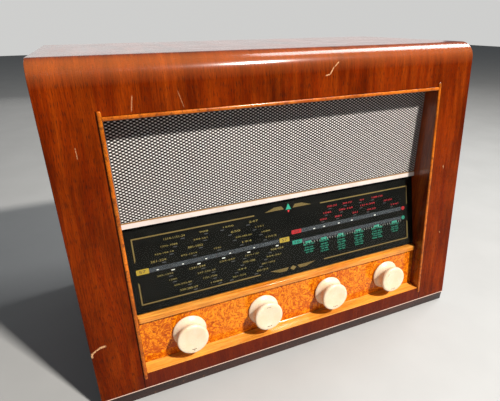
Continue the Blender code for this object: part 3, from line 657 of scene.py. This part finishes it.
# ---- dial -----------------------------------------------------------------------------------
# A sloping sheet of clear glass with its scale behind it: black lacquer with windows for the
# needles, printed in gold, yellow, red, green, grey and white. The marks are plain numbers.
GLASS = FRONT @ Matrix.Translation((0, 0.0145, 0.0912)) @ Matrix.Rotation(radians(-7.8), 4, "X")
PRINT_G, PRINT_THICKNESS = 0.00314, 0.00008
PRINT_SHIFT = 0.0015  # the print sits a little to the right on its glass

glass = new_material("dial_glass", 0.03, ior=1.15)
look(transmission_weight=1.0, base_color=(0.97, 0.985, 0.975, 1))
clear = put("BsdfTransparent")
rays = put("LightPath").outputs
unseen = reckon("MAXIMUM", rays["Is Shadow Ray"], rays["Is Diffuse Ray"])
unseen = reckon("MAXIMUM", unseen, rays["Is Glossy Ray"])
surface = tree.nodes["Principled BSDF"].outputs[0]
mixed = put("MixShader", {0: unseen, 1: surface, 2: clear.outputs[0]})
feed(tree.nodes["Material Output"].inputs["Surface"], mixed.outputs[0])
dress(glass, "dial_glass")

lacquer = new_material("dial_lacquer", 0.60)
cloud = between(speckle(object_space(), 30.0, 4.0), 0.35, 0.7)
look(base_color=tint(cloud, rgb(13, 14, 12), rgb(20, 20, 17)))
look(roughness=between(cloud, 0.0, 1.0, 0.5, 0.7))
look(specular_ior_level=0.05)
dress(lacquer, "dial_scale")


def print_ink(name, base, worn):
    """A screen-printed ink, a little thin in places."""
    return mottled(name, 0.55, rgb(*base), rgb(*worn), (900.0, 3.0), (0.50, 0.70, 0, 0.6))


def bar(bm, left, right, low, high, corner=0.0, layer=0):
    """A flat printed bar on the back of the glass, with round corners if asked."""
    work = bmesh.new()
    bmesh.ops.create_grid(work, x_segments=1, y_segments=1, size=0.5)
    scale(work, (right - left, high - low, 1))
    if corner:
        bevel(work, work.verts[:], corner, 5, "VERTICES")
    shift = ((left + right) / 2, (low + high) / 2, 0)
    move(work, shift)
    add_print(bm, work, layer)


def shape(bm, *points, layer=0):
    """A flat printed shape through a few points in turn."""
    work = bmesh.new()
    work.faces.new([work.verts.new((x, t, 0)) for x, t in points])
    add_print(bm, work, layer)


def add_print(bm, work, layer):
    """Stands a flat print, drawn in x and t, behind the glass and gives it a thickness."""
    face_out(work)
    work.faces.ensure_lookup_table()
    if work.faces[0].normal.z < 0:
        bmesh.ops.reverse_faces(work, faces=work.faces)
    extruded(work, work.faces[:], (0, 0, -PRINT_THICKNESS))
    face_out(work)
    transform(work, Matrix.Rotation(pi / 2, 4, "X"))
    move(work, (0, PRINT_G - layer * 0.00004, 0))
    joined(bm, work)


def number(bm, text, left, right, low, height, layer=0):
    """Figures stretched to fill a space on the scale."""
    curve = bpy.data.curves.new("figures", "FONT")
    curve.body = text
    curve.resolution_u = 2
    source = bpy.data.objects.new("figures", curve)
    data = bpy.data.meshes.new_from_object(source)
    work = bmesh.new()
    work.from_mesh(data)
    bpy.data.meshes.remove(data)
    bpy.data.objects.remove(source)
    bpy.data.curves.remove(curve)
    xs = [v.co.x for v in work.verts]
    ys = [v.co.y for v in work.verts]
    move(work, (-min(xs), -min(ys), 0))
    size = ((right - left) / (max(xs) - min(xs)), height / (max(ys) - min(ys)), 1)
    scale(work, size)
    move(work, (left, low, 0))
    add_print(bm, work, layer)


def place_print(name, bm, ink_name, base, worn):
    """Puts a finished print on the glass. All prints ride with the fixed scale."""
    scale(bm, (0.001, 1, 0.001))
    move(bm, (PRINT_SHIFT, 0, 0))
    transform(bm, GLASS)
    finish_piece(name, bm, print_ink(ink_name, base, worn), "root", "dial_black", smooth=30)


# The scale is drawn in millimetres: x from the middle of the set, t up from the glass's foot.
gold = bmesh.new()
RULE = 1.5
bar(gold, -199.5, -49.0, 90.9, 92.4, 0.6)
bar(gold, 46.5, 193.0, 90.9, 92.4, 0.6)
bar(gold, -199.5, -48.5, 11.2, 12.7, 0.6)
bar(gold, 47.0, 193.5, 11.2, 12.7, 0.6)
for x in (-199.6, 192.4):
    shape(gold, (x, 63.5), (x + RULE, 66.0), (x + RULE, 91.8), (x, 91.8))
    shape(gold, (x, 40.0), (x, 11.8), (x + RULE, 11.8), (x + RULE, 37.5))
for side in (-1, 1):
    for step in range(4):
        start, end = -1.0 + side * (6.4 + 0.9 * step), -1.0 + side * (33.5 - 3.6 * step)
        shape(gold, (start, 92.7 + 1.15 * step), (end, 92.7 + 1.15 * step),
              (end - side * 2.6, 93.6 + 1.15 * step), (start + side * 0.6, 93.6 + 1.15 * step))
        shape(gold, (start, 12.9 - 1.15 * step), (end, 12.9 - 1.15 * step),
              (end - side * 2.6, 12.0 - 1.15 * step), (start + side * 0.6, 12.0 - 1.15 * step))
shape(gold, (-1.0, 14.0), (-5.5, 10.7), (-1.0, 7.4), (3.5, 10.7))
place_print("gold_print", gold, "gold_ink", (112, 94, 46), (82, 68, 34))

# Station marks: how high each row stands, then where each number starts and ends.
LEFT_ROWS = (
    (84.0, (-163.5, -138.5), (-121.0, -110.0), (-91.0, -77.5), (-57.0, -44.5)),
    (76.0, (-168.0, -148.5), (-129.0, -112.0), (-82.0, -69.5), (-49.0, -38.0)),
    (68.0, (-176.5, -154.0), (-137.0, -118.5), (-76.5, -55.0), (-41.0, -29.5)),
    (60.0, (-182.0, -164.0), (-146.5, -127.0), (-105.5, -96.5), (-68.5, -56.0), (-36.0, -21.0)),
    (41.5, (-177.5, -158.5), (-138.5, -119.0), (-101.0, -80.5), (-66.5, -48.0), (-31.0, -13.0)),
    (33.5, (-164.0, -155.0), (-130.0, -107.0), (-70.5, -54.0), (-38.0, -17.0)),
    (25.5, (-159.5, -138.0), (-123.5, -106.0), (-79.0, -67.0), (-45.5, -26.5)),
    (17.5, (-153.5, -131.5), (-115.0, -100.5), (-86.5, -68.5), (-53.0, -37.5)),
)
FIGURES = "1214 908 1500 247 1293 344 650 1151 434 881 330 1088 261 692 1546 194 1052 285 1341 224"
figures = FIGURES.split()
yellow = bmesh.new()
ticks = bmesh.new()
count = 0
for low, *words in LEFT_ROWS:
    for left, right in words:
        text = figures[count % len(figures)]
        if right - left > 15:
            text += "-" + figures[(count + 7) % len(figures)]
        if right - left > 21:
            text += "-" + figures[(count + 3) % len(figures)][:2]
        bold = count % 3 == 0
        number(yellow, text, left, right, low - (0.2 if bold else 0), 2.5 if bold else 1.9)
        at = right - 3.0 if left < -100 else left - 1.5
        bar(ticks, at - 2.3, at + 2.3, low - 2.9, low - 1.9)
        count += 1
place_print("yellow_print", yellow, "yellow_ink", (134, 120, 62), (92, 82, 44))
labels = bmesh.new()
for left, right in ((-199.6, -185.2), (-17.4, -3.2)):
    bar(labels, left, right, 48.6, 54.9, 0.8)
place_print("yellow_labels", labels, "label_yellow_ink", (160, 136, 38), (130, 110, 30))

RED_ROWS = (
    (83.3, (57.5, 72.5), (82.0, 97.0), (110.0, 117.5), (131.0, 149.5)),
    (75.3, (51.0, 63.0), (75.5, 98.0), (111.0, 135.5), (151.5, 166.0)),
    (67.2, (45.0, 55.5), (68.5, 79.0), (97.0, 106.0), (122.5, 137.0), (164.5, 177.5)),
)
red = bmesh.new()
for low, *words in RED_ROWS:
    for left, right in words:
        text = figures[(count * 3) % len(figures)]
        if right - left > 13:
            text += "-" + figures[(count + 5) % len(figures)][:3]
        number(red, text, left, right, low, 2.4)
        at = left + 4.0 if left < 100 else left + 1.0
        bar(ticks, at - 2.3, at + 2.3, low - 2.8, low - 1.9)
        count += 1
place_print("red_print", red, "red_ink", (168, 26, 38), (110, 18, 26))
labels = bmesh.new()
bar(labels, 0.8, 15.2, 56.8, 62.2, 0.8)
bar(labels, 183.2, 188.8, 56.8, 62.2, 2.6)
place_print("red_labels", labels, "label_red_ink", (164, 16, 24), (130, 14, 20))
place_print("tick_print", ticks, "grey_ink", (64, 66, 70), (48, 50, 54))

# Under the green band: a tab, then a column of numbers, each with its middle, width and lines.
GREEN_COLUMNS = (
    (25.0, 16, 3), (49.0, 14, 4), (76.5, 14, 5), (106.0, 16.5, 5), (138.0, 19.5, 4), (170.0, 14.5, 3),
)
green = bmesh.new()
labels = bmesh.new()
bar(labels, 0.8, 15.2, 42.4, 47.8, 0.8)
bar(labels, 183.2, 188.8, 42.4, 47.8, 2.6)
for middle, width, lines in GREEN_COLUMNS:
    bar(labels, middle - 5.0, middle + 4.2, 40.2, 43.0, 0.4)
    for i in range(lines + 1):
        wide = width * (1.0, 0.8, 0.95, 0.7, 0.9, 0.75)[i] / 2
        low = 37.4 if i == 0 else 36.4 - 3.3 * i
        text = figures[(count * 7 + i) % len(figures)] + "-" + figures[(count + i) % len(figures)]
        number(green, text, middle - wide, middle + wide, low, 2.4 if i == 0 else 1.9)
    count += 1
shape(green, (-5.0, 91.4), (3.0, 91.4), (-1.0, 99.4))
place_print("green_print", green, "green_ink", (30, 150, 122), (18, 100, 82))
place_print("green_labels", labels, "label_green_ink", (22, 128, 106), (18, 104, 86))

# A thin grey tint over each window, which the needles show through.
film = bmesh.new()
for left, right, low in ((-186.6, -18.0, 48.9), (14.0, 182.6, 56.7), (14.0, 182.6, 42.2)):
    bar(film, left, right, low, low + 5.5, layer=-1)
place_print("window_tint", film, "window_tint", (62, 68, 72), (54, 60, 64))
look(alpha=0.6)

# Small dark figures on the labels and over the left window.
dark = bmesh.new()
for left, low, text in (
    (-196.4, 50.0, "57"), (-14.2, 50.0, "57"), (4.2, 58.0, "20"), (4.2, 43.6, "16"),
):
    number(dark, text, left, left + 7.6, low, 3.4, layer=3)
for low, text in ((58.1, "2"), (43.7, "3")):
    number(dark, text, 185.0, 187.0, low, 2.8, layer=3)
LEFT_FIGURES = (
    (-160.5, 55), (-140, 60), (-120, 70), (-101.5, 80), (-84.5, 100), (-66.5, 120), (-47, 140), (-24.5, 160),
)
for x, text in LEFT_FIGURES:
    wide = 1.25 * len(str(text))
    number(dark, str(text), x - wide, x + wide, 50.6, 2.5)
for i, x in enumerate((26, 55, 84, 113, 142, 171)):
    number(dark, str(20 + 5 * i), x - 2.0, x + 2.0, 58.6, 2.2)
    number(dark, str(6 + 2 * i), x - 1.7, x + 1.7, 44.4, 2.2)
place_print("dark_print", dark, "dark_ink", (16, 15, 13), (34, 30, 24))

emblem = bmesh.new()
shape(emblem, (-2.6, 90.4), (0.6, 90.4), (-1.0, 87.4))
place_print("emblem_print", emblem, "emblem_red_ink", (214, 40, 48), (140, 24, 36))

# White marks lie over and under the windows.
white = bmesh.new()
for x in (-158, -126.5, -95, -61.5, -21.5):
    bar(white, x - 2.0, x + 2.0, 45.6, 46.8)
for x in (-175.5, -145.5, -117, -86, -53.5):
    bar(white, x - 1.1, x + 1.1, 50.0, 51.0)
for x in (35, 50.5, 74, 95.5, 135):
    bar(white, x - 1.3, x + 1.3, 57.6, 58.8)
for i in range(41):
    x = 17.5 + 4.1 * i
    bar(white, x, x + 0.35, 39.6, 41.6 if i % 5 else 42.2)
place_print("white_print", white, "white_ink", (214, 212, 204), (160, 160, 156))

# ---- dial back plate, lamps and needles -----------------------------------------------------
# Behind the scale: a grey painted plate that two lamps light, and the carriage with a red needle
# for each half of the dial, clipped to the drive cord.
dirt = ((40.0, 5.0), (0.4, 0.75))
plate_paint = mottled("plate_paint", 0.5, rgb(78, 86, 88), rgb(60, 68, 70), *dirt)
raised(speckle(object_space(), 600.0, 2.0), 0.00006, 0.4)
dress(plate_paint, "dial_backplate")

chips = ((500.0, 3.0), (0.66, 0.72))
needle_paint = mottled("needle_paint", 0.35, rgb(196, 22, 26), rgb(120, 116, 110), *chips)
dress(needle_paint, "pointer_carriage")

bulb = new_material("lamp_glass", 0.06, ior=1.45)
cap_low, cap_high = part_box("left_dial_lamp")
brass = between(speckle(object_space(), 300.0, 3.0), 0.4, 0.7)
up = parted(object_space())["Z"]
is_cap = between(up, cap_low.z + 0.0100, cap_low.z + 0.0102, 1, 0)
body = tint(is_cap, rgb(236, 232, 214), tint(brass, rgb(196, 156, 82), rgb(140, 106, 54)))
look(base_color=body)
look(metallic=is_cap)
dress(bulb, "left_dial_lamp", "right_dial_lamp")

# ---- control panel --------------------------------------------------------------------------
# A strip of burr veneer between a bullnosed rail above and a small cove below, all varnished.
burr = new_material("burr_veneer", 0.20)
place = object_space()
drift = speckle(place, 16.0, 3.0, 0.6)
twist = put("TexNoise", {"Vector": place, "Scale": 34.0, "Detail": 3.0}).outputs[1]
twist = put("VectorMath", {0: twist, "Scale": 0.030}, operation="SCALE").outputs[0]
swirl = put("VectorMath", {0: place, 1: twist}, operation="ADD")
curls = speckle(swirl.outputs[0], 115.0, 5.0, 0.68, 1.8)
eyes = put("TexVoronoi", {"Vector": swirl.outputs[0], "Scale": 110.0}).outputs["Distance"]
colour = tint(between(curls, 0.43, 0.55), rgb(178, 80, 4), rgb(236, 138, 14))
colour = tint(between(drift, 0.45, 0.65, 0, 0.5), colour, rgb(238, 144, 28))
dark_curls = between(speckle(swirl.outputs[0], 135.0, 4.0, 0.7, 2.6), 0.46, 0.57, 0, 0.85)
colour = tint(dark_curls, colour, rgb(164, 66, 4))
colour = tint(between(eyes, 0.10, 0.22, 0.7, 0), colour, rgb(128, 46, 6))
look(base_color=colour)
look(specular_ior_level=0.15, coat_weight=0.2, coat_roughness=0.10)
raised(curls, 0.0001, 0.3)
dress(burr, "control_panel")

rail_wood = new_material("rail_wood", 0.24)
lain = along_grain("Z", "X", "Y")
grain = use(
    wood_grain, vector=lain, pores=0.2,
    dark=rgb(212, 120, 24), mid=rgb(234, 152, 54), light=rgb(248, 182, 92),
)
look(base_color=grain["Colour"])
look(specular_ior_level=0.15, coat_weight=0.5, coat_roughness=0.12)
raised(grain["Height"], 0.00008, 0.4)

NOSING_D, NOSING_S = (0.0115, 0.0205), (0.0829, 0.0903)
nosing = bmesh.new()
bmesh.ops.create_cube(nosing, size=1)
size = (2 * fit, NOSING_D[1] - NOSING_D[0], NOSING_S[1] - NOSING_S[0])
scale(nosing, size)
move(nosing, (0, sum(NOSING_D) / 2, sum(NOSING_S) / 2))
foremost = [e for e in nosing.edges if all(v.co.y < NOSING_D[0] + 1e-5 for v in e.verts)]
uprights = [e for e in foremost if abs(e.verts[0].co.x - e.verts[1].co.x) < 1e-5]
bevel(nosing, uprights, 0.0030, 6)
along = [
    e for e in nosing.edges
    if abs(e.verts[0].co.z - e.verts[1].co.z) < 1e-6
    and all(v.co.y < NOSING_D[0] + 0.0031 for v in e.verts)
]
bevel(nosing, along, 0.0028, 6)
transform(nosing, FRONT)
finish_piece("panel_rail", nosing, rail_wood, "root", "beading", "panel_nosing", smooth=40)

# The cove: a strip with a hollow face that sweeps down to the cabinet's bottom rail.
PANEL_D, PANEL_S = 0.0155, 0.0253
COVE_STEPS = 10
COVE_LIP = 0.0008
cove = bmesh.new()
start, low, high = GAP, SILL_S + GAP, PANEL_S - GAP
points = [(start, low), (start, low + COVE_LIP)]
for i in range(COVE_STEPS + 1):
    angle = pi / 2 * i / COVE_STEPS
    rise = (high - low - COVE_LIP) * (1 - cos(angle))
    points.append((0.0012 + (PANEL_D - 0.0014) * sin(angle), low + COVE_LIP + rise))
points += [(PANEL_D + 0.0048, high), (PANEL_D + 0.0048, low)]
profile = cove.faces.new([cove.verts.new((-fit, d, s)) for d, s in points])
extruded(cove, [profile], (2 * fit, 0, 0))
face_out(cove)
transform(cove, FRONT)
finish_piece("panel_cove", cove, rail_wood, "root", "beading", "panel_sill", smooth=35)

# ---- knobs ----------------------------------------------------------------------------------
# Spools turned from cream moulded plastic: a rounded face, a narrow waist and a flared skirt, each
# pushed on its spindle. Small dark dots on the faces stand for the control's marks.
KNOB_X = {"volume": -0.1475, "tone": -0.0475, "waveband": 0.0525, "tuning": 0.1525}
KNOB_S = 0.0535
KNOB_PROFILE = (
    # radius, d
    (0.0000, -0.0046), (0.0060, -0.0047), (0.0110, -0.0050), (0.0145, -0.0054), (0.0168, -0.0055),
    (0.0180, -0.0053), (0.0188, -0.0047), (0.0192, -0.0037), (0.0193, -0.0024), (0.0191, -0.0010),
    (0.0184, 0.0003), (0.0172, 0.0014), (0.0162, 0.0032), (0.0159, 0.0056), (0.0163, 0.0078),
    (0.0176, 0.0098), (0.0194, 0.0114), (0.0208, 0.0124), (0.0212, 0.0131), (0.0212, 0.0137),
    (0.0209, 0.0140), (0.0150, 0.0140), (0.0140, 0.0120), (0.0060, 0.0120), (0.0060, 0.0140),
    (0.0033, 0.0140), (0.0033, -0.0010), (0.0000, -0.0010),
)
KNOB_MARKS = {
    # dots on the face, as an angle from the top, clockwise, and how far out
    "volume": ((180, 0.72), (172, 0.72), (188, 0.72), (180, 0.80)),
    "tone": ((0, 0.80), (8, 0.80), (-8, 0.80), (180, 0.74), (170, 0.74), (190, 0.74)),
    "waveband": ((180, 0.76), (170, 0.76), (190, 0.76)),
    "tuning": ((-40, 0.78), (-48, 0.78), (180, 0.78), (171, 0.78), (189, 0.78)),
}
cream = new_material("cream_plastic", 0.26)
place = object_space()
yellowed = between(speckle(place, 60.0, 4.0), 0.35, 0.7)
colour = tint(yellowed, rgb(226, 208, 182), rgb(218, 192, 158))
specks = between(speckle(place, 900.0, 2.0), 0.68, 0.74, 0, 0.5)
look(base_color=tint(specks, colour, rgb(150, 112, 70)))
look(roughness=between(yellowed, 0, 1, 0.22, 0.36))
look(subsurface_weight=0.15, subsurface_radius=(0.004, 0.003, 0.002))
raised(speckle(place, 300.0, 3.0), 0.00006, 0.3)
mark_ink = print_ink("mark_ink", (40, 28, 20), (80, 58, 40))


def turned(profile, steps=48):
    """Turns a profile of (radius, y) points about Y into a closed shape."""
    bm = bmesh.new()
    verts = [bm.verts.new((radius, y, 0)) for radius, y in profile]
    edges = [bm.edges.new(pair) for pair in zip(verts, verts[1:])]
    bmesh.ops.spin(
        bm, geom=verts + edges, axis=(0, 1, 0), cent=(0, 0, 0), angle=2 * pi, steps=steps, use_merge=True
    )
    bmesh.ops.remove_doubles(bm, verts=bm.verts, dist=1e-6)
    face_out(bm)
    return bm


for control, x in KNOB_X.items():
    stand = FRONT @ Matrix.Translation((x, 0, KNOB_S))
    knob = turned(KNOB_PROFILE, 64)
    transform(knob, stand)
    name = f"{control}_knob"
    finish_piece(f"{name}_turned", knob, cream, control, "bakelite", name, smooth=50)
    dots = bmesh.new()
    for angle, out in KNOB_MARKS[control]:
        turn = Matrix.Rotation(radians(angle), 4, "Y")
        at = stand @ turn @ Matrix.Translation((0, -0.00535, 0.0185 * out))
        made = bmesh.ops.create_uvsphere(dots, u_segments=10, v_segments=6, radius=0.00072)
        bmesh.ops.scale(dots, vec=(1.3, 0.35, 0.7), verts=made["verts"])
        bmesh.ops.transform(dots, matrix=at, verts=made["verts"])
    finish_piece(f"{name}_marks", dots, mark_ink, control, "bakelite", smooth=60)

# ---- spindles and controls ------------------------------------------------------------------
# Turned steel spindles run back from the knobs into two volume controls, a wafer switch and a
# bush, all nutted to the chassis's front.
def metal_finish(name, base, worn, roughness, scale=260.0, metallic=1.0):
    """Plated or bare metal with dull patches and a fine brushed surface."""
    made = new_material(name, roughness, metallic=metallic)
    place = object_space()
    dull = between(speckle(place, 38.0, 5.0, 0.65), 0.42, 0.72)
    spots = between(speckle(place, scale, 3.0), 0.60, 0.70, 0, 0.6)
    colour = tint(dull, base, worn)
    look(base_color=tint(spots, colour, worn))
    look(roughness=between(dull, 0, 1, roughness, roughness + 0.22))
    raised(speckle(place, 1400.0, 2.0), 0.00003, 0.4)
    return made


steel = metal_finish("plated_steel", rgb(196, 192, 182), rgb(142, 132, 114), 0.30)
dress(
    steel,
    "volume_spindle", "tone_spindle", "waveband_spindle", "tuning_spindle", "tuning_bush",
    "volume_control", "tone_control", "waveband_switch",
)
dark_steel = metal_finish("black_steel", rgb(30, 29, 28), rgb(52, 48, 43), 0.55, metallic=0.3)
dress(dark_steel, "speaker_basket", "speaker_magnet")

# ---- chassis --------------------------------------------------------------------------------
# One folded sheet of cadmium plated steel, screwed to the base board. Transformers, cans, valves
# and the tuning capacitor stand on it.
plate = metal_finish("cadmium_plate", rgb(178, 172, 150), rgb(132, 122, 96), 0.36, scale=120.0)
dress(plate, "chassis")

iron = new_material("transformer_iron", 0.55, metallic=0.2)
place = object_space()
leaves = put("TexWave", {"Vector": place, "Scale": 320.0, "Distortion": 0.4}, bands_direction="X")
rust = between(speckle(place, 90.0, 5.0, 0.7), 0.50, 0.72, 0, 0.7)
colour = tint(between(leaves.outputs[1], 0.2, 0.8), rgb(30, 29, 29), rgb(62, 58, 54))
look(base_color=tint(rust, colour, rgb(96, 58, 34)))
raised(leaves.outputs[1], 0.0002, 0.6)
dress(iron, "mains_transformer", "output_transformer")

can_metal = metal_finish("can_aluminium", rgb(208, 208, 206), rgb(160, 158, 154), 0.32, scale=500.0)
CANS = ("smoothing_capacitor", "first_if_transformer", "second_if_transformer")
dress(can_metal, *CANS, "gang_frame", "gang_rotor")

VALVES = ("rectifier", "output", "detector", "if_amplifier", "frequency_changer")
for valve in VALVES:
    node = f"{valve}_valve"
    low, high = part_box(node)
    envelope = new_material(f"{node}_glass", 0.06)
    place = object_space()
    up = parted(place)["Z"]
    holder = between(up, low.z + 0.0060, low.z + 0.0063, 1, 0)
    getter = between(up, high.z - 0.0170, high.z - 0.0120)
    inner = between(speckle(stretched(place, (260, 260, 60)), 1.0, 3.0), 0.40, 0.60)
    colour = tint(inner, rgb(34, 34, 33), rgb(104, 102, 98))
    colour = tint(getter, colour, rgb(150, 152, 156))
    look(base_color=tint(holder, colour, rgb(64, 34, 18)))
    look(metallic=times(getter, 0.8))
    look(roughness=between(holder, 0, 1, 0.06, 0.45))
    dress(envelope, node)

# ---- tuning drive ---------------------------------------------------------------------------
# A moulded drum on the tuning capacitor's shaft, two idler pulleys and a loop of waxed cord that
# the tuning spindle winds.
flow = ((70.0, 4.0, 0.6, 1.0), (0.38, 0.66))
moulding = mottled("drum_moulding", 0.42, rgb(206, 190, 152), rgb(180, 158, 118), *flow)
raised(speckle(object_space(), 800.0, 2.0), 0.00004, 0.4)
dress(moulding, "drive_drum", "left_pulley", "right_pulley")

cord_finish = new_material("waxed_cord", 0.7)
place = object_space()
twist = put("TexWave", {"Vector": place, "Scale": 900.0, "Distortion": 1.0}, bands_direction="DIAGONAL")
look(base_color=tint(twist.outputs[1], rgb(120, 98, 62), rgb(186, 164, 118)))
raised(twist.outputs[1], 0.0001, 0.6)
dress(cord_finish, "drive_cord")

# ---- back cover -----------------------------------------------------------------------------
# A sheet of perforated hardboard screwed between the cabinet's sides, with rows of round-ended
# slots for air, a window for the sockets and a hole for the mains cord.
cover_low, cover_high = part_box("back_cover")
SLOT_ROWS = [0.215 + 0.034 * row for row in range(4)]
SLOT_COLUMNS = [0.046 * (column - 4) for column in range(9)]
SLOT_HALF, SLOT_HEIGHT = 0.016, 0.008
SOCKET_WINDOW = (0.052, 0.128, 0.045, 0.070)
INLET_X, INLET_Z, INLET_HOLE = -0.150, 0.055, 0.0065

board = new_material("hardboard", 0.78)
place = object_space()
fibre = speckle(place, 420.0, 5.0, 0.7)
patch = between(speckle(place, 13.0, 4.0), 0.35, 0.7)
colour = tint(patch, rgb(118, 78, 44), rgb(142, 98, 60))
colour = tint(between(fibre, 0.42, 0.66, 0, 0.6), colour, rgb(82, 50, 26))
look(base_color=colour)
raised(fibre, 0.00025, 0.7)

cover = bmesh.new()
bmesh.ops.create_grid(cover, x_segments=1, y_segments=1, size=0.5)
transform(cover, Matrix.Rotation(-pi / 2, 4, "X"))
size = cover_high - cover_low
scale(cover, (size.x, 1, size.z))
middle = (cover_low + cover_high) / 2
move(cover, (middle.x, cover_high.y, middle.z))
windows = [(x - SLOT_HALF, x + SLOT_HALF, z, z + SLOT_HEIGHT) for x in SLOT_COLUMNS for z in SLOT_ROWS]
windows.append(SOCKET_WINDOW)
cuts = [((x, 0, 0), (1, 0, 0)) for x in sorted({round(x, 5) for w in windows for x in w[:2]})]
cuts += [((0, 0, z), (0, 0, 1)) for z in sorted({round(z, 5) for w in windows for z in w[2:]})]
for place_on, across in cuts:
    cut(cover, place_on, across)


def in_window(face):
    at = face.calc_center_median()
    return any(w[0] < at.x < w[1] and w[2] < at.z < w[3] for w in windows)


bmesh.ops.delete(cover, geom=[f for f in cover.faces if in_window(f)], context="FACES")
bmesh.ops.dissolve_limit(
    cover, angle_limit=0.01, use_dissolve_boundaries=False, verts=cover.verts, edges=cover.edges,
    delimit=set(),
)
cover.normal_update()
if cover.faces[:][0].normal.y < 0:
    bmesh.ops.reverse_faces(cover, faces=cover.faces)
bmesh.ops.solidify(cover, geom=cover.faces[:], thickness=size.y)
slot_corners = [
    e for e in cover.edges
    if abs(e.verts[0].co.y - e.verts[1].co.y) > 0.001
    and abs(e.verts[0].co.x) < 0.205 and e.verts[0].co.z > 0.2
]
bevel(cover, slot_corners, SLOT_HEIGHT * 0.49, 6)
finish_piece("back_board", cover, board, "root", "hardboard", "back_cover", smooth=30)

# Round-headed screws with cup washers hold the cover.
screw_metal = metal_finish("screw_steel", rgb(178, 168, 142), rgb(120, 106, 80), 0.34)
SCREWS = [(x, z) for x in (-0.232, 0.0, 0.232) for z in (0.032, 0.358)] + [(-0.232, 0.195), (0.232, 0.195)]
WASHER = ((0.0, 0.0002), (0.0058, 0.0002), (0.0062, 0.0008), (0.0040, 0.0016), (0.0, 0.0016))
HEAD = ((0.0, 0.0012), (0.0034, 0.0016), (0.0033, 0.0024), (0.0022, 0.0032), (0.0, 0.0035))
SLOT_SIZE, SLOT_OUT = (0.0044, 0.0004, 0.0007), 0.00335
screws, slots = bmesh.new(), bmesh.new()
for i, (x, z) in enumerate(SCREWS):
    turn = Matrix.Rotation(0.6 + 1.1 * i, 4, "Y")
    for profile in (WASHER, HEAD):
        part = turned(profile, 24)
        move(part, (x, cover_high.y, z))
        joined(screws, part)
    slot_verts = bmesh.ops.create_cube(slots, size=1)["verts"]
    bmesh.ops.scale(slots, vec=SLOT_SIZE, verts=slot_verts)
    place_on = Matrix.Translation((x, cover_high.y + SLOT_OUT, z)) @ turn
    bmesh.ops.transform(slots, matrix=place_on, verts=slot_verts)
finish_piece("cover_screws", screws, screw_metal, "root", "steel", smooth=40)
finish_piece("cover_screw_slots", slots, dark_steel, "root", "steel", smooth=30)

paxolin = new_material("socket_board", 0.45)
place = object_space()
weave = speckle(place, 320.0, 4.0)
weft = between(weave, 0.4, 0.65)
look(base_color=tint(weft, rgb(26, 22, 20), rgb(52, 40, 32)))
raised(weave, 0.0001, 0.4)
dress(paxolin, "socket_panel")

bloom = ((350.0, 4.0), (0.4, 0.7), (0.0001, 0.4))
dress(mottled("black_rubber", 0.7, rgb(20, 20, 20), rgb(48, 46, 44), *bloom), "mains_inlet")
